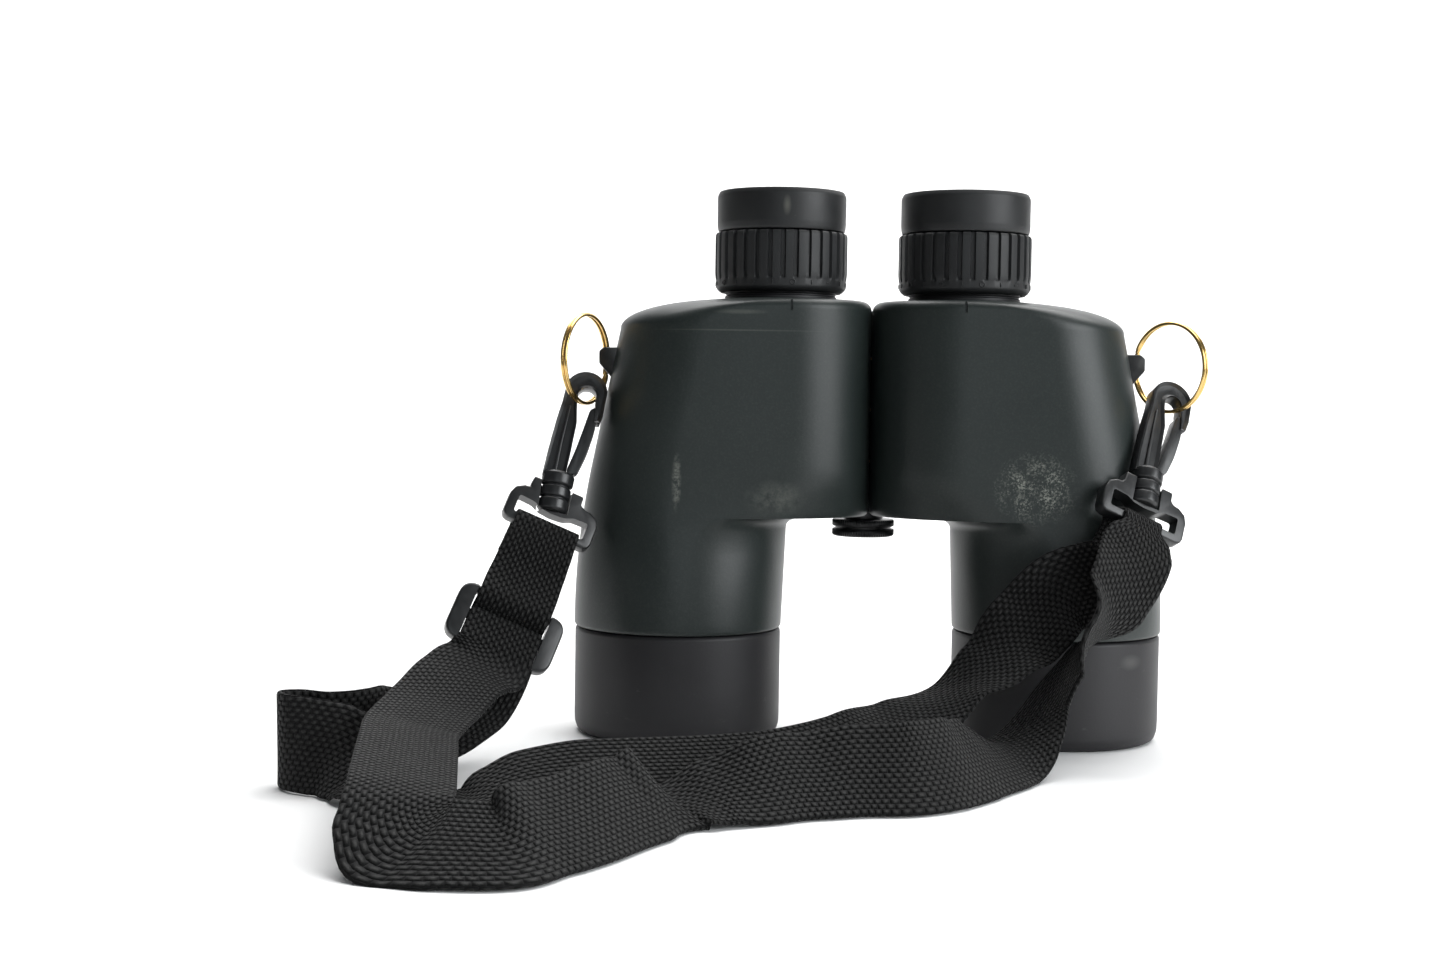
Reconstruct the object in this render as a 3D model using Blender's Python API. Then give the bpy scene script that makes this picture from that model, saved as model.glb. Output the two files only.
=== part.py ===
"""Porro prism binoculars with individual eyepiece focus, standing on their objective hoods,
with a webbing neck strap on two swivel snap hooks.

Every length below is in millimetres; add_object() scales meshes and places to metres.
The frame: X = 0 is the plane between the halves, Y = 0 holds the optical axes, Z = 0 is the
surface that the hoods stand on. +X is the right half, -Y the side with the index marks.
"""
import math

import bmesh
import bpy
from mathutils import Matrix, Vector

MM = 0.001
GAP = 0.3                    # clearance between pieces that touch

# Optical layout
OBJECTIVE_X = 59.0           # objective axis from the middle plane
OCULAR_X = 28.5              # eyepiece axis from the middle plane, at the narrowest setting
HINGE_Y = 22.3               # the hinge runs behind the optical axes
HALVES = {"left": -1, "right": 1}

# Objective end
HOOD_R = 32.0
HOOD_TOP = 33.0
SPIGOT_R = 28.7
SPIGOT_BOTTOM = 10.0
SPIGOT_BORE = 27.0

# Housing
BARREL_R = 32.3
ARCH_Z = 64.3                # where the barrel starts to flare into the prism housing
PRISM_R = 28.2               # half depth of the prism housing
TOP_Z = 134.5
CROWN_Z = 125.5              # the top rounds off above this height
CROWN_X = 45.0               # and outside this distance from the middle plane
CROWN_REACH = 33.0
TOP_EDGE_R = 3.0
WALL = 2.5
SEAM_X = 0.15                # half of the gap between the two halves

# Hinge
KNUCKLE_R = 7.3
AXLE_R = 3.2
SOCKET_BORE = 5.8            # lower end of the left half's hinge bore, for the tripod socket
SOCKET_TOP = 77.3
CAP_BORE = 5.3               # upper end of the right half's hinge bore, for the hinge cap
CAP_SEAT = 126.2
KNUCKLES = {"left": [(69.6, 84.0), (101.6, 116.8)], "right": [(85.2, 100.4), (118.0, 132.4)]}

# Eyepiece
RING_R = 20.5
RIB_COUNT = 32
EYECUP_R = 19.95
TOTAL_HEIGHT = 168.0

# Strap fittings
LUG_HOLE_X = 82.2
RING_MEAN_R = 13.5
RING_Z = 115.5
RING_WIRE_R = 1.05
RING_HEADING = {"left": 65.0, "right": 52.0}      # degrees forward of the sideways direction
HOOK_AXIS = {"left": (0.15, 0.335, 0.93), "right": (0.23, 0.52, 0.823)}
HOOK_SIDE = {"left": (0.95, 0.05, -0.19), "right": (0.917, 0.133, -0.34)}
FRAME_AXIS = {"left": (0.30, 0.45, 0.84), "right": (0.28, 0.50, 0.82)}
FRAME_SIDE = {"left": (0.91, 0.14, -0.40), "right": (0.90, 0.168, -0.41)}
HOOK_EYE = (3.6, 37.2)       # where the split ring passes, beside and along the hook's axis
WEB_WIDTH = 25.0
WEB_THICK = 1.5
FLOOR_GAP = 0.1              # the webbing lies this far above the surface
SLIDER_AT = (-108.8, -42.0, 36.1)
SLIDER_AXIS = (0.32, 0.444, 0.836)
SLIDER_SIDE = (0.906, 0.117, -0.408)

# The strap's route: middle of the webbing, then the direction across it. The front run starts
# on the slider's lower bar, passes over the left loop, turns by the floor and goes up to the
# right frame. The return run goes back behind it, lies under it, turns round in the left loop
# and goes up through the slider to the left frame.
FRONT_RUN = [
    ((-109.3, -47.1, 33.6), (0.906, 0.117, -0.408)),
    ((-110.7, -49.1, 29.9), (0.906, 0.117, -0.408)),
    ((-112.6, -52.4, 27.4), (0.905, 0.10, -0.41)),
    ((-115.4, -57.5, 26.6), (0.91, 0.05, -0.38)),
    ((-118.2, -65.0, 25.2), (0.94, 0.0, -0.33)),
    ((-122.2, -80.0, 21.2), (0.95, 0.0, -0.30)),
    ((-124.2, -95.0, 19.4), (0.97, 0.0, -0.26)),
    ((-125.0, -104.5, 18.5), (0.97, 0.0, -0.25)),
    ((-124.6, -112.0, 18.6), (0.975, -0.02, -0.21)),
    ((-122.7, -127.0, 18.3), (0.98, -0.05, -0.18)),
    ((-120.6, -144.0, 17.7), (0.98, -0.09, -0.15)),
    ((-118.6, -160.0, 16.9), (0.98, -0.13, -0.13)),
    ((-117.2, -171.5, 16.0), (0.98, -0.15, -0.12)),
    ((-116.7, -177.6, 14.5), (0.975, -0.08, -0.05)),
    ((-115.6, -182.6, 11.2), (0.90, 0.30, 0.25)),
    ((-113.0, -186.9, 8.6), (0.733, 0.508, 0.453)),
    ((-107.9, -190.2, 7.1), (0.43, 0.70, 0.57)),
    ((-101.6, -191.4, 7.1), (0.12, 0.80, 0.58)),
    ((-91.0, -190.2, 7.4), (-0.05, 0.83, 0.56)),
    ((-82.5, -179.3, 7.2), (-0.12, 0.83, 0.545)),
    ((-73.8, -166.0, 7.1), (-0.15, 0.835, 0.53)),
    ((-63.5, -147.5, 4.9), (0.0, 0.93, 0.36)),
    ((-55.5, -133.0, 4.2), (0.04, 0.965, 0.26)),
    ((-46.0, -128.5, 7.1), (0.0, 0.86, 0.515)),
    ((-36.0, -126.5, 9.2), (0.0, 0.72, 0.695)),
    ((-23.0, -120.5, 9.8), (0.0, 0.67, 0.743)),
    ((-9.0, -117.5, 10.9), (0.0, 0.545, 0.839)),
    ((4.0, -116.0, 11.2), (-0.05, 0.50, 0.866)),
    ((14.0, -108.5, 11.3), (-0.22, 0.50, 0.84)),
    ((22.0, -95.5, 9.6), (-0.25, 0.74, 0.63)),
    ((30.5, -79.0, 7.4), (-0.32, 0.85, 0.42)),
    ((39.5, -62.0, 8.2), (-0.35, 0.93, 0.10)),
    ((48.0, -51.0, 17.0), (-0.30, 0.95, -0.05)),
    ((56.0, -50.8, 29.0), (-0.15, 0.98, -0.10)),
    ((63.0, -53.0, 40.0), (0.25, 0.85, -0.45)),
    ((69.0, -48.2, 50.0), (0.75, 0.45, -0.40)),
    ((74.0, -43.0, 57.0), (0.89, 0.19, -0.41)),
    ((75.3, -38.6, 61.5), (0.897, 0.168, -0.409)),
    ((76.5, -36.2, 65.3), (0.897, 0.168, -0.409)),
]
RETURN_RUN = [
    ((75.4, -33.5, 64.6), (0.897, 0.168, -0.409)),
    ((74.1, -35.9, 60.6), (0.897, 0.168, -0.409)),
    ((72.9, -38.0, 57.0), (0.89, 0.17, -0.42)),
    ((69.3, -38.2, 54.0), (0.80, 0.15, -0.58)),
    ((63.0, -37.8, 51.6), (0.45, 0.02, -0.89)),
    ((55.5, -38.6, 49.4), (0.18, -0.10, -0.98)),
    ((44.7, -43.2, 40.0), (0.02, -0.45, -0.89)),
    ((33.0, -50.0, 29.5), (-0.03, -0.83, -0.55)),
    ((21.5, -56.0, 21.5), (0.0, -0.98, -0.20)),
    ((7.5, -68.0, 15.0), (0.0, -0.92, -0.38)),
    ((-8.0, -85.5, 10.8), (0.0, -0.84, -0.54)),
    ((-25.0, -99.0, 8.8), (0.0, -0.82, -0.57)),
    ((-42.0, -107.0, 8.4), (0.0, -0.81, -0.58)),
    ((-62.0, -112.5, 8.4), (0.0, -0.81, -0.58)),
    ((-80.0, -114.5, 8.0), (0.0, -0.82, -0.57)),
    ((-93.0, -117.0, 6.8), (0.10, -0.87, -0.48)),
    ((-101.5, -120.5, 4.6), (0.22, -0.92, -0.32)),
    ((-108.0, -123.5, 2.0), (0.22, -0.97, -0.10)),
    ((-115.0, -124.5, 1.0), (0.05, -1.0, 0.0)),
    ((-121.5, -121.0, 1.2), (-0.10, -0.99, -0.03)),
    ((-128.0, -116.0, 3.0), (-0.15, -0.96, -0.22)),
    ((-134.0, -111.8, 6.8), (-0.10, -0.84, -0.53)),
    ((-140.0, -107.5, 9.4), (-0.04, -0.63, -0.77)),
    ((-147.0, -104.5, 11.5), (0.0, -0.36, -0.93)),
    ((-154.0, -102.8, 12.5), (0.02, -0.25, -0.97)),
    ((-159.8, -99.8, 12.8), (0.03, -0.10, -0.99)),
    ((-161.8, -95.0, 13.0), (0.02, 0.0, -1.0)),
    ((-158.5, -90.2, 12.9), (0.0, 0.15, -0.99)),
    ((-151.0, -87.5, 12.4), (0.05, 0.25, -0.96)),
    ((-142.0, -84.0, 11.8), (0.25, 0.28, -0.92)),
    ((-133.5, -78.5, 11.9), (0.60, 0.15, -0.78)),
    ((-126.0, -70.0, 12.4), (0.85, 0.05, -0.52)),
    ((-120.5, -60.0, 14.4), (0.91, 0.0, -0.41)),
    ((-116.4, -52.6, 18.0), (0.91, 0.08, -0.41)),
    ((-113.7, -48.8, 23.0), (0.905, 0.10, -0.41)),
    ((-111.7, -46.1, 28.5), (0.906, 0.117, -0.408)),
    ((-108.8, -42.0, 36.1), (0.906, 0.117, -0.408)),
    ((-105.0, -36.6, 46.2), (0.907, 0.13, -0.40)),
    ((-101.2, -31.2, 56.2), (0.907, 0.139, -0.398)),
    ((-99.6, -28.8, 60.8), (0.907, 0.139, -0.398)),
]
FRONT_SPLIT = 29             # station where the front run leaves the floor for the right half
RETURN_SPLIT = 8             # station where the return run has come down to the floor

MATERIALS = {
    "housing_coat": ((0.022, 0.030, 0.029), 0.48, 0.0),
    "hood_rubber": ((0.030, 0.028, 0.032), 0.60, 0.0),
    "eyepiece_rubber": ((0.020, 0.021, 0.023), 0.52, 0.0),
    "alloy": ((0.05, 0.05, 0.055), 0.45, 1.0),
    "black_alloy": ((0.02, 0.02, 0.02), 0.55, 0.6),
    "steel": ((0.55, 0.55, 0.56), 0.30, 1.0),
    "brass": ((0.78, 0.55, 0.20), 0.25, 1.0),
    "optical_glass": ((0.85, 0.92, 0.92), 0.02, 0.0),
    "seal_rubber": ((0.02, 0.02, 0.02), 0.70, 0.0),
    "fitting_plastic": ((0.018, 0.019, 0.021), 0.35, 0.0),
    "webbing": ((0.020, 0.021, 0.022), 0.80, 0.0),
}


def clear_scene():
    for obj in list(bpy.data.objects):
        bpy.data.objects.remove(obj, do_unlink=True)


def material(name):
    """The Principled material of this name, made on first use."""
    found = bpy.data.materials.get(name)
    if found:
        return found
    colour, roughness, metallic = MATERIALS[name]
    made = bpy.data.materials.new(name)
    made.use_nodes = True
    shader = made.node_tree.nodes["Principled BSDF"]
    shader.inputs["Base Color"].default_value = (*colour, 1.0)
    shader.inputs["Roughness"].default_value = roughness
    shader.inputs["Metallic"].default_value = metallic
    return made


def add_object(name, bm, slot=None, at=(0.0, 0.0, 0.0), axes=None, parent=None):
    """Turn a bmesh in millimetres into a named object in metres, placed at `at`."""
    bmesh.ops.recalc_face_normals(bm, faces=bm.faces)
    bmesh.ops.scale(bm, vec=(MM, MM, MM), verts=bm.verts)
    mesh = bpy.data.meshes.new(name)
    bm.to_mesh(mesh)
    bm.free()
    mesh.shade_smooth()
    mesh.set_sharp_from_angle(angle=math.radians(40))
    obj = bpy.data.objects.new(name, mesh)
    bpy.context.scene.collection.objects.link(obj)
    obj.location = Vector(at) * MM
    if axes is not None:
        obj.rotation_euler = axes.to_euler()
    if slot:
        mesh.materials.append(material(slot))
    else:
        obj.hide_render = True
        obj.display_type = "WIRE"
    if parent:
        obj.parent = parent
    return obj


def add_empty(name):
    empty = bpy.data.objects.new(name, None)
    bpy.context.scene.collection.objects.link(empty)
    return empty


def combine(obj, other, operation):
    """Add a Boolean of `other` to `obj`; `other` becomes a hidden guide."""
    modifier = obj.modifiers.new(operation.lower() + "_" + other.name, "BOOLEAN")
    modifier.operation = operation
    modifier.object = other
    modifier.solver = "EXACT"


def axes_from(side, axis):
    """Rotation whose Z is `axis` and whose X is `side` made square to it."""
    z_axis = Vector(axis).normalized()
    x_axis = Vector(side)
    x_axis = (x_axis - z_axis * x_axis.dot(z_axis)).normalized()
    return Matrix((x_axis, z_axis.cross(x_axis), z_axis)).transposed()


def turned(profile, steps=20, closed=True):
    """Spin an outline of (radius, height) points about Z into a solid."""
    bm = bmesh.new()
    verts = [bm.verts.new((radius, 0.0, height)) for radius, height in profile]
    edges = [bm.edges.new(pair) for pair in zip(verts, verts[1:])]
    if closed:
        edges.append(bm.edges.new((verts[-1], verts[0])))
    bmesh.ops.spin(bm, geom=verts + edges, cent=(0, 0, 0), axis=(0, 0, 1),
                   angle=2 * math.pi, steps=steps, use_duplicate=False)
    bmesh.ops.remove_doubles(bm, verts=bm.verts, dist=1e-4)
    return bm


def extruded(outline, depth):
    """Extrude an outline of (x, z) points along Y, centred on Y = 0."""
    bm = bmesh.new()
    face = bm.faces.new([bm.verts.new((x, -depth / 2, z)) for x, z in outline])
    grown = bmesh.ops.extrude_face_region(bm, geom=[face])
    moved = [item for item in grown["geom"] if isinstance(item, bmesh.types.BMVert)]
    bmesh.ops.translate(bm, vec=(0.0, depth, 0.0), verts=moved)
    return bm


def cylinder(radius, low, high, steps=24):
    return turned([(0.0, low), (radius, low), (radius, high), (0.0, high)], steps, closed=False)


def arc(centre, radius, start, end, count):
    """Points on a circle from one angle to another, in degrees."""
    points = []
    for index in range(count + 1):
        angle = math.radians(start + (end - start) * index / count)
        points.append((centre[0] + radius * math.cos(angle), centre[1] + radius * math.sin(angle)))
    return points


def block(low, high):
    bm = bmesh.new()
    bmesh.ops.create_cube(bm, size=1.0)
    size = Vector(high) - Vector(low)
    middle = (Vector(high) + Vector(low)) / 2
    bmesh.ops.scale(bm, vec=size, verts=bm.verts)
    bmesh.ops.translate(bm, vec=middle, verts=bm.verts)
    return bm


def merged(parts):
    """Several bmeshes in one, for a cutter or an operand made of separate bodies."""
    result = bmesh.new()
    for bm in parts:
        scratch = bpy.data.meshes.new("scratch")
        bm.to_mesh(scratch)
        bm.free()
        result.from_mesh(scratch)
        bpy.data.meshes.remove(scratch)
    return result


# Housing ------------------------------------------------------------------------------------

def smoothstep(value):
    value = min(max(value, 0.0), 1.0)
    return value * value * (3.0 - 2.0 * value)


def outer_x(z):
    """Distance of the outer side from the middle plane: upright at the hood, then leaning in,
    then the elliptical round-off at the top."""
    if z > CROWN_Z:
        rise = min((z - CROWN_Z) / (TOP_Z - CROWN_Z), 1.0)
        return CROWN_X + CROWN_REACH * math.sqrt(max(1.0 - rise * rise, 0.0))
    lean_start, lean_end, curve, slope = 35.0, 82.6, 0.0021, 0.2
    bent = min(max(z - lean_start, 0.0), lean_end - lean_start)
    return 91.3 - curve * bent * bent - slope * max(z - lean_end, 0.0)


def half_depth(z):
    return BARREL_R - (BARREL_R - PRISM_R) * smoothstep((z - 40.0) / 40.0)


def housing_section(z, reach, inset=0.0):
    """Plan section at height z: two half ellipses, outer and inner, joined by flat faces.
    reach is how far the inner end has grown from the barrel (0) to the middle plane (1)."""
    edge = max(z - (TOP_Z - TOP_EDGE_R), 0.0)
    rounding = TOP_EDGE_R - math.sqrt(max(TOP_EDGE_R ** 2 - edge ** 2, 0.0))
    depth = half_depth(z) - rounding - inset
    barrel_inner = 26.9 - 0.04 * (min(z, ARCH_Z) - HOOD_TOP)
    outer = outer_x(z)
    barrel_centre = (outer + barrel_inner) / 2
    barrel_half = (outer - barrel_inner) / 2
    full_half = min(PRISM_R, outer - PRISM_R - SEAM_X)
    outer_half = barrel_half + (full_half - barrel_half) * smoothstep((z - 42.0) / 40.0)
    outer_centre = outer - outer_half
    inner_centre = barrel_centre + (PRISM_R + SEAM_X - barrel_centre) * smoothstep((z - 60.0) / 22.0)
    inner_end = barrel_inner + (SEAM_X + rounding - barrel_inner) * reach
    return (inner_centre, inner_centre - inner_end - inset, outer_centre, outer_half - inset, depth)


def section_ring(bm, section, z, side, count):
    inner_centre, inner_half, outer_centre, outer_half, depth = section
    ring = []
    for index in range(count):
        angle = math.pi * ((index + 0.5) / count - 0.5)
        point = (outer_centre + outer_half * math.cos(angle), depth * math.sin(angle))
        ring.append(bm.verts.new((side * point[0], point[1], z)))
    for index in range(count):
        angle = math.pi * ((index + 0.5) / count + 0.5)
        point = (inner_centre + inner_half * math.cos(angle), depth * math.sin(angle))
        ring.append(bm.verts.new((side * point[0], point[1], z)))
    return ring


def lofted(sections, side, count):
    """Skin a stack of (z, section) rings and cap both ends."""
    bm = bmesh.new()
    rings = [section_ring(bm, section, z, side, count) for z, section in sections]
    for low, high in zip(rings, rings[1:]):
        for index in range(len(low)):
            after = (index + 1) % len(low)
            bm.faces.new((low[index], low[after], high[after], high[index]))
    bm.faces.new(rings[0])
    bm.faces.new(rings[-1])
    return bm


def round_section(radius, grow=0.0):
    return (OBJECTIVE_X, radius + grow, OBJECTIVE_X, radius + grow, radius + grow)


def housing_outside(side, grow=0.0):
    """Outer skin: spigot, shoulder, barrel, flare under the arch, prism housing, crown."""
    stack = [(SPIGOT_BOTTOM, round_section(SPIGOT_R, grow)), (33.3, round_section(SPIGOT_R, grow)),
             (33.35, housing_section(33.3, 0.0, 0.4 - grow)), (33.9, housing_section(34.0, 0.0, -grow))]
    for z in (49.0, ARCH_Z):
        stack.append((z, housing_section(z, 0.0, -grow)))
    for z, reach in ((65.4, 0.015), (66.5, 0.055), (67.2, 0.13), (68.4, 0.95), (69.3, 0.99)):
        stack.append((z, housing_section(z, reach, -grow)))
    for z in (71.0, 76.0, 82.0, 96.0, 112.0, CROWN_Z, 129.5, 131.7, 132.8, 133.7, 134.3, TOP_Z):
        stack.append((z, housing_section(z, 1.0, -grow)))
    return lofted(stack, side, 16)


def housing_cavity(side):
    """The hollow: stepped objective bore, barrel and prism chamber."""
    shoulder_z = 31.9
    stack = [(SPIGOT_BOTTOM - 1.0, round_section(SPIGOT_BORE)), (shoulder_z, round_section(SPIGOT_BORE)),
             (shoulder_z + 0.05, round_section(25.6)), (62.0, round_section(25.6)),
             (70.9, housing_section(70.9, 0.25, WALL)), (71.4, housing_section(71.4, 0.97, WALL))]
    for z in (74.0, 78.0, 83.0, 110.0, 122.0, 128.0, 130.4):
        stack.append((z, housing_section(z, 1.0, WALL)))
    stack.append((TOP_Z - WALL, housing_section(TOP_Z - 0.8, 1.0, WALL)))
    return lofted(stack, side, 12)


def knuckle(low, high):
    barrel = cylinder(KNUCKLE_R, low, high, 20)
    bmesh.ops.translate(barrel, vec=(0.0, HINGE_Y, 0.0), verts=barrel.verts)
    return barrel


def knuckle_arm(side, low, high):
    """The short arm that joins a hinge barrel to the housing wall."""
    hinge = Vector((0.0, HINGE_Y))
    towards = (Vector((side * (PRISM_R + SEAM_X), 0.0)) - hinge).normalized()
    across = Vector((-towards.y, towards.x))
    corners = []
    for along, sideways in ((4.0, -5.6), (9.6, -5.6), (9.6, 5.6), (4.0, 5.6)):
        corners.append(hinge + towards * along + across * sideways)
    bm = bmesh.new()
    face = bm.faces.new([bm.verts.new((point.x, point.y, low)) for point in corners])
    grown = bmesh.ops.extrude_face_region(bm, geom=[face])
    moved = [item for item in grown["geom"] if isinstance(item, bmesh.types.BMVert)]
    bmesh.ops.translate(bm, vec=(0.0, 0.0, high - low), verts=moved)
    return bm


def make_housing(name, side, parent):
    housing = add_object(name + "_housing", housing_outside(side), "housing_coat", parent=parent)
    combine(housing, add_object(name + "_cavity_cutter", housing_cavity(side)), "DIFFERENCE")
    hole = cylinder(15.0, TOP_Z - 5.0, TOP_Z + 2.0)
    bmesh.ops.translate(hole, vec=(side * OCULAR_X, 0.0, 0.0), verts=hole.verts)
    combine(housing, add_object(name + "_ocular_cutter", hole), "DIFFERENCE")
    for low, high in KNUCKLES[name]:
        label = "%s_%d" % (name, low)
        combine(housing, add_object(label + "_arm_guide", knuckle_arm(side, low, high)), "UNION")
        combine(housing, add_object(label + "_knuckle_guide", knuckle(low, high)), "UNION")
    low, high = 60.0, 140.0
    if name == "left":
        radii, step_z = (SOCKET_BORE, AXLE_R + GAP), SOCKET_TOP
    else:
        radii, step_z = (AXLE_R + GAP, CAP_BORE), CAP_SEAT
    steps = [(radii[0], low), (radii[0], step_z), (radii[1], step_z), (radii[1], high)]
    bore = turned([(0.0, low)] + steps + [(0.0, high)], 16, closed=False)
    bmesh.ops.translate(bore, vec=(0.0, HINGE_Y, 0.0), verts=bore.verts)
    combine(housing, add_object(name + "_hinge_cutter", bore), "DIFFERENCE")


# Optics -------------------------------------------------------------------------------------

def lens(radius, low_edge, low_middle, high_edge, high_middle, steps=20):
    """A turned lens whose faces run as shallow curves from edge to middle."""
    low, high = [], []
    for share in (0.0, 0.6, 1.0):
        bend = share * share
        low.append((radius * share, low_middle + (low_edge - low_middle) * bend))
        high.append((radius * share, high_middle + (high_edge - high_middle) * bend))
    return turned(low + high[::-1], steps, closed=False)


def make_objective(name, side, parent):
    at = (side * OBJECTIVE_X, 0.0, 0.0)
    hood = [(27.4, 0.4), (27.8, 0.0), (29.6, 0.0), (30.8, 0.5), (31.65, 1.9), (HOOD_R, 4.2),
            (HOOD_R, HOOD_TOP - 0.6), (31.5, HOOD_TOP), (SPIGOT_R + GAP, HOOD_TOP),
            (SPIGOT_R + GAP, SPIGOT_BOTTOM - GAP), (27.4, SPIGOT_BOTTOM - GAP)]
    cell = [(24.0, 24.3), (25.5, 24.3), (25.5, 12.0), (26.7, 12.0), (26.7, 30.0), (24.0, 30.0)]
    gasket = [(24.0, 30.3), (26.6, 30.3), (26.6, 31.6), (24.0, 31.6)]
    keeper = [(23.7, 13.2), (25.2, 13.2), (25.2, 15.6), (23.7, 15.6)]
    for label, profile, slot, steps in (("objective_hood", hood, "hood_rubber", 32),
                                        ("objective_cell", cell, "black_alloy", 20),
                                        ("objective_gasket", gasket, "seal_rubber", 20),
                                        ("lens_retaining_ring", keeper, "black_alloy", 20)):
        add_object("%s_%s" % (name, label), turned(profile, steps), slot, at, parent=parent)
    add_object(name + "_crown_lens", lens(25.2, 16.3, 14.0, 18.3, 20.6), "optical_glass", at, parent=parent)
    add_object(name + "_flint_lens", lens(25.2, 18.6, 20.9, 24.0, 24.0), "optical_glass", at, parent=parent)


PRISM_STEP = OBJECTIVE_X / 2 - OCULAR_X / 2       # half of the sideways offset that two prisms make
PRISM_HALF = PRISM_STEP / math.sqrt(2) + 9.0      # half length: beam spacing over 2, plus the beam
BEAM_R = 9.0


def stadium(length, radius, low, high):
    """A slab with round ends, its long axis along X."""
    reach = length / 2 - radius
    outline = arc((reach, 0.0), radius, -90, 90, 6) + arc((-reach, 0.0), radius, 90, 270, 6)
    bm = bmesh.new()
    face = bm.faces.new([bm.verts.new((x, y, low)) for x, y in outline])
    grown = bmesh.ops.extrude_face_region(bm, geom=[face])
    moved = [item for item in grown["geom"] if isinstance(item, bmesh.types.BMVert)]
    bmesh.ops.translate(bm, vec=(0.0, 0.0, high - low), verts=moved)
    return bm


def make_prisms(name, side, parent):
    """Two crossed right-angle prisms, roof to roof, on a plate with four beam windows."""
    upper_z, lower_z = 104.0, 100.0
    fold_y = -PRISM_STEP
    spots = {"upper_prism": (OBJECTIVE_X - PRISM_STEP / 2, upper_z, 1, 1),
             "lower_prism": (OCULAR_X + PRISM_STEP / 2, lower_z, -1, -1)}
    for label, (x, base, up, turn) in spots.items():
        roof = [(-PRISM_HALF, 0.0), (PRISM_HALF, 0.0), (0.6, up * (PRISM_HALF - 0.6)),
                (-0.6, up * (PRISM_HALF - 0.6))]
        heading = math.radians(45.0 * turn * side)
        axes = Matrix.Rotation(heading, 3, "Z")
        at = (side * x, fold_y / 2, base)
        prism = add_object("%s_%s" % (name, label), extruded(roof, 2 * BEAM_R + 1.0), "optical_glass",
                           at, axes, parent)
        trim = stadium(2 * PRISM_HALF - 0.6, BEAM_R, -24.0, 24.0)
        combine(prism, add_object("%s_%s_trim" % (name, label), trim, at=at, axes=axes), "INTERSECT")
    shelf_parts = stadium(43.0 + 8.0, 12.0, 100.4, 103.6)
    shelf = add_object(name + "_prism_shelf", shelf_parts, "alloy",
                       (side * (OBJECTIVE_X + OCULAR_X) / 2, fold_y / 2, 0.0), parent=parent)
    windows = []
    for x, y in ((OBJECTIVE_X, 0.0), ((OBJECTIVE_X + OCULAR_X) / 2, fold_y), (OCULAR_X, 0.0)):
        window = cylinder(BEAM_R - 1.0, 98.0, 106.0, 16)
        bmesh.ops.translate(window, vec=(side * x, y, 0.0), verts=window.verts)
        windows.append(window)
    combine(shelf, add_object(name + "_window_cutter", merged(windows)), "DIFFERENCE")


# Eyepiece -----------------------------------------------------------------------------------

def focus_ring():
    """Knurled ring: flat band for the marks, then a belt of ribs, hollow around its guide."""
    bm = bmesh.new()
    count = 2 * RIB_COUNT
    levels = [(17.7, 17.7, 137.0), (19.7, 19.7, 137.0), (20.2, 20.2, 137.7), (20.2, 20.2, 141.2),
              (RING_R, 19.7, 141.8), (RING_R, 19.7, 153.6), (19.9, 19.7, 155.2), (13.8, 13.8, 155.2),
              (13.8, 13.8, 152.2), (17.7, 17.7, 152.2)]
    rings = []
    for rib_r, valley_r, z in levels:
        ring = []
        for index in range(count):
            radius = valley_r if index % 2 else rib_r
            angle = 2 * math.pi * index / count
            ring.append(bm.verts.new((radius * math.cos(angle), radius * math.sin(angle), z)))
        rings.append(ring)
    for low, high in zip(rings, rings[1:] + rings[:1]):
        for index in range(count):
            after = (index + 1) % count
            bm.faces.new((low[index], low[after], high[after], high[index]))
    return bm


def make_eyepiece(name, side, parent):
    at = (side * OCULAR_X, 0.0, 0.0)
    guide = [(13.7, 126.0), (14.7, 126.0), (14.7, 134.8), (17.3, 134.8), (17.3, 150.0), (13.7, 150.0)]
    tube = [(10.3, 122.8), (13.3, 122.8), (13.3, 157.3), (15.8, 157.9), (15.8, 164.2), (12.6, 164.2),
            (12.6, 160.0), (11.3, 160.0), (11.3, 126.2), (10.3, 126.2)]
    cup = [(16.2, 155.5), (19.7, 155.5), (EYECUP_R, 156.0), (EYECUP_R, 166.9), (19.3, TOTAL_HEIGHT),
           (18.0, TOTAL_HEIGHT), (17.4, 167.2), (17.1, 158.6), (16.2, 158.2)]
    add_object(name + "_ocular_guide", turned(guide), "black_alloy", at, parent=parent)
    add_object(name + "_ocular_tube", turned(tube), "black_alloy", at, parent=parent)
    add_object(name + "_eyecup", turned(cup, 28), "eyepiece_rubber", at, parent=parent)
    add_object(name + "_focus_ring", focus_ring(), "eyepiece_rubber", at, parent=parent)
    add_object(name + "_field_lens", lens(11.0, 128.0, 126.9, 129.0, 131.0, 20), "optical_glass", at,
               parent=parent)
    add_object(name + "_eye_lens", lens(12.3, 161.0, 160.4, 162.4, 163.8, 20), "optical_glass", at,
               parent=parent)


# Hinge --------------------------------------------------------------------------------------

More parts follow.
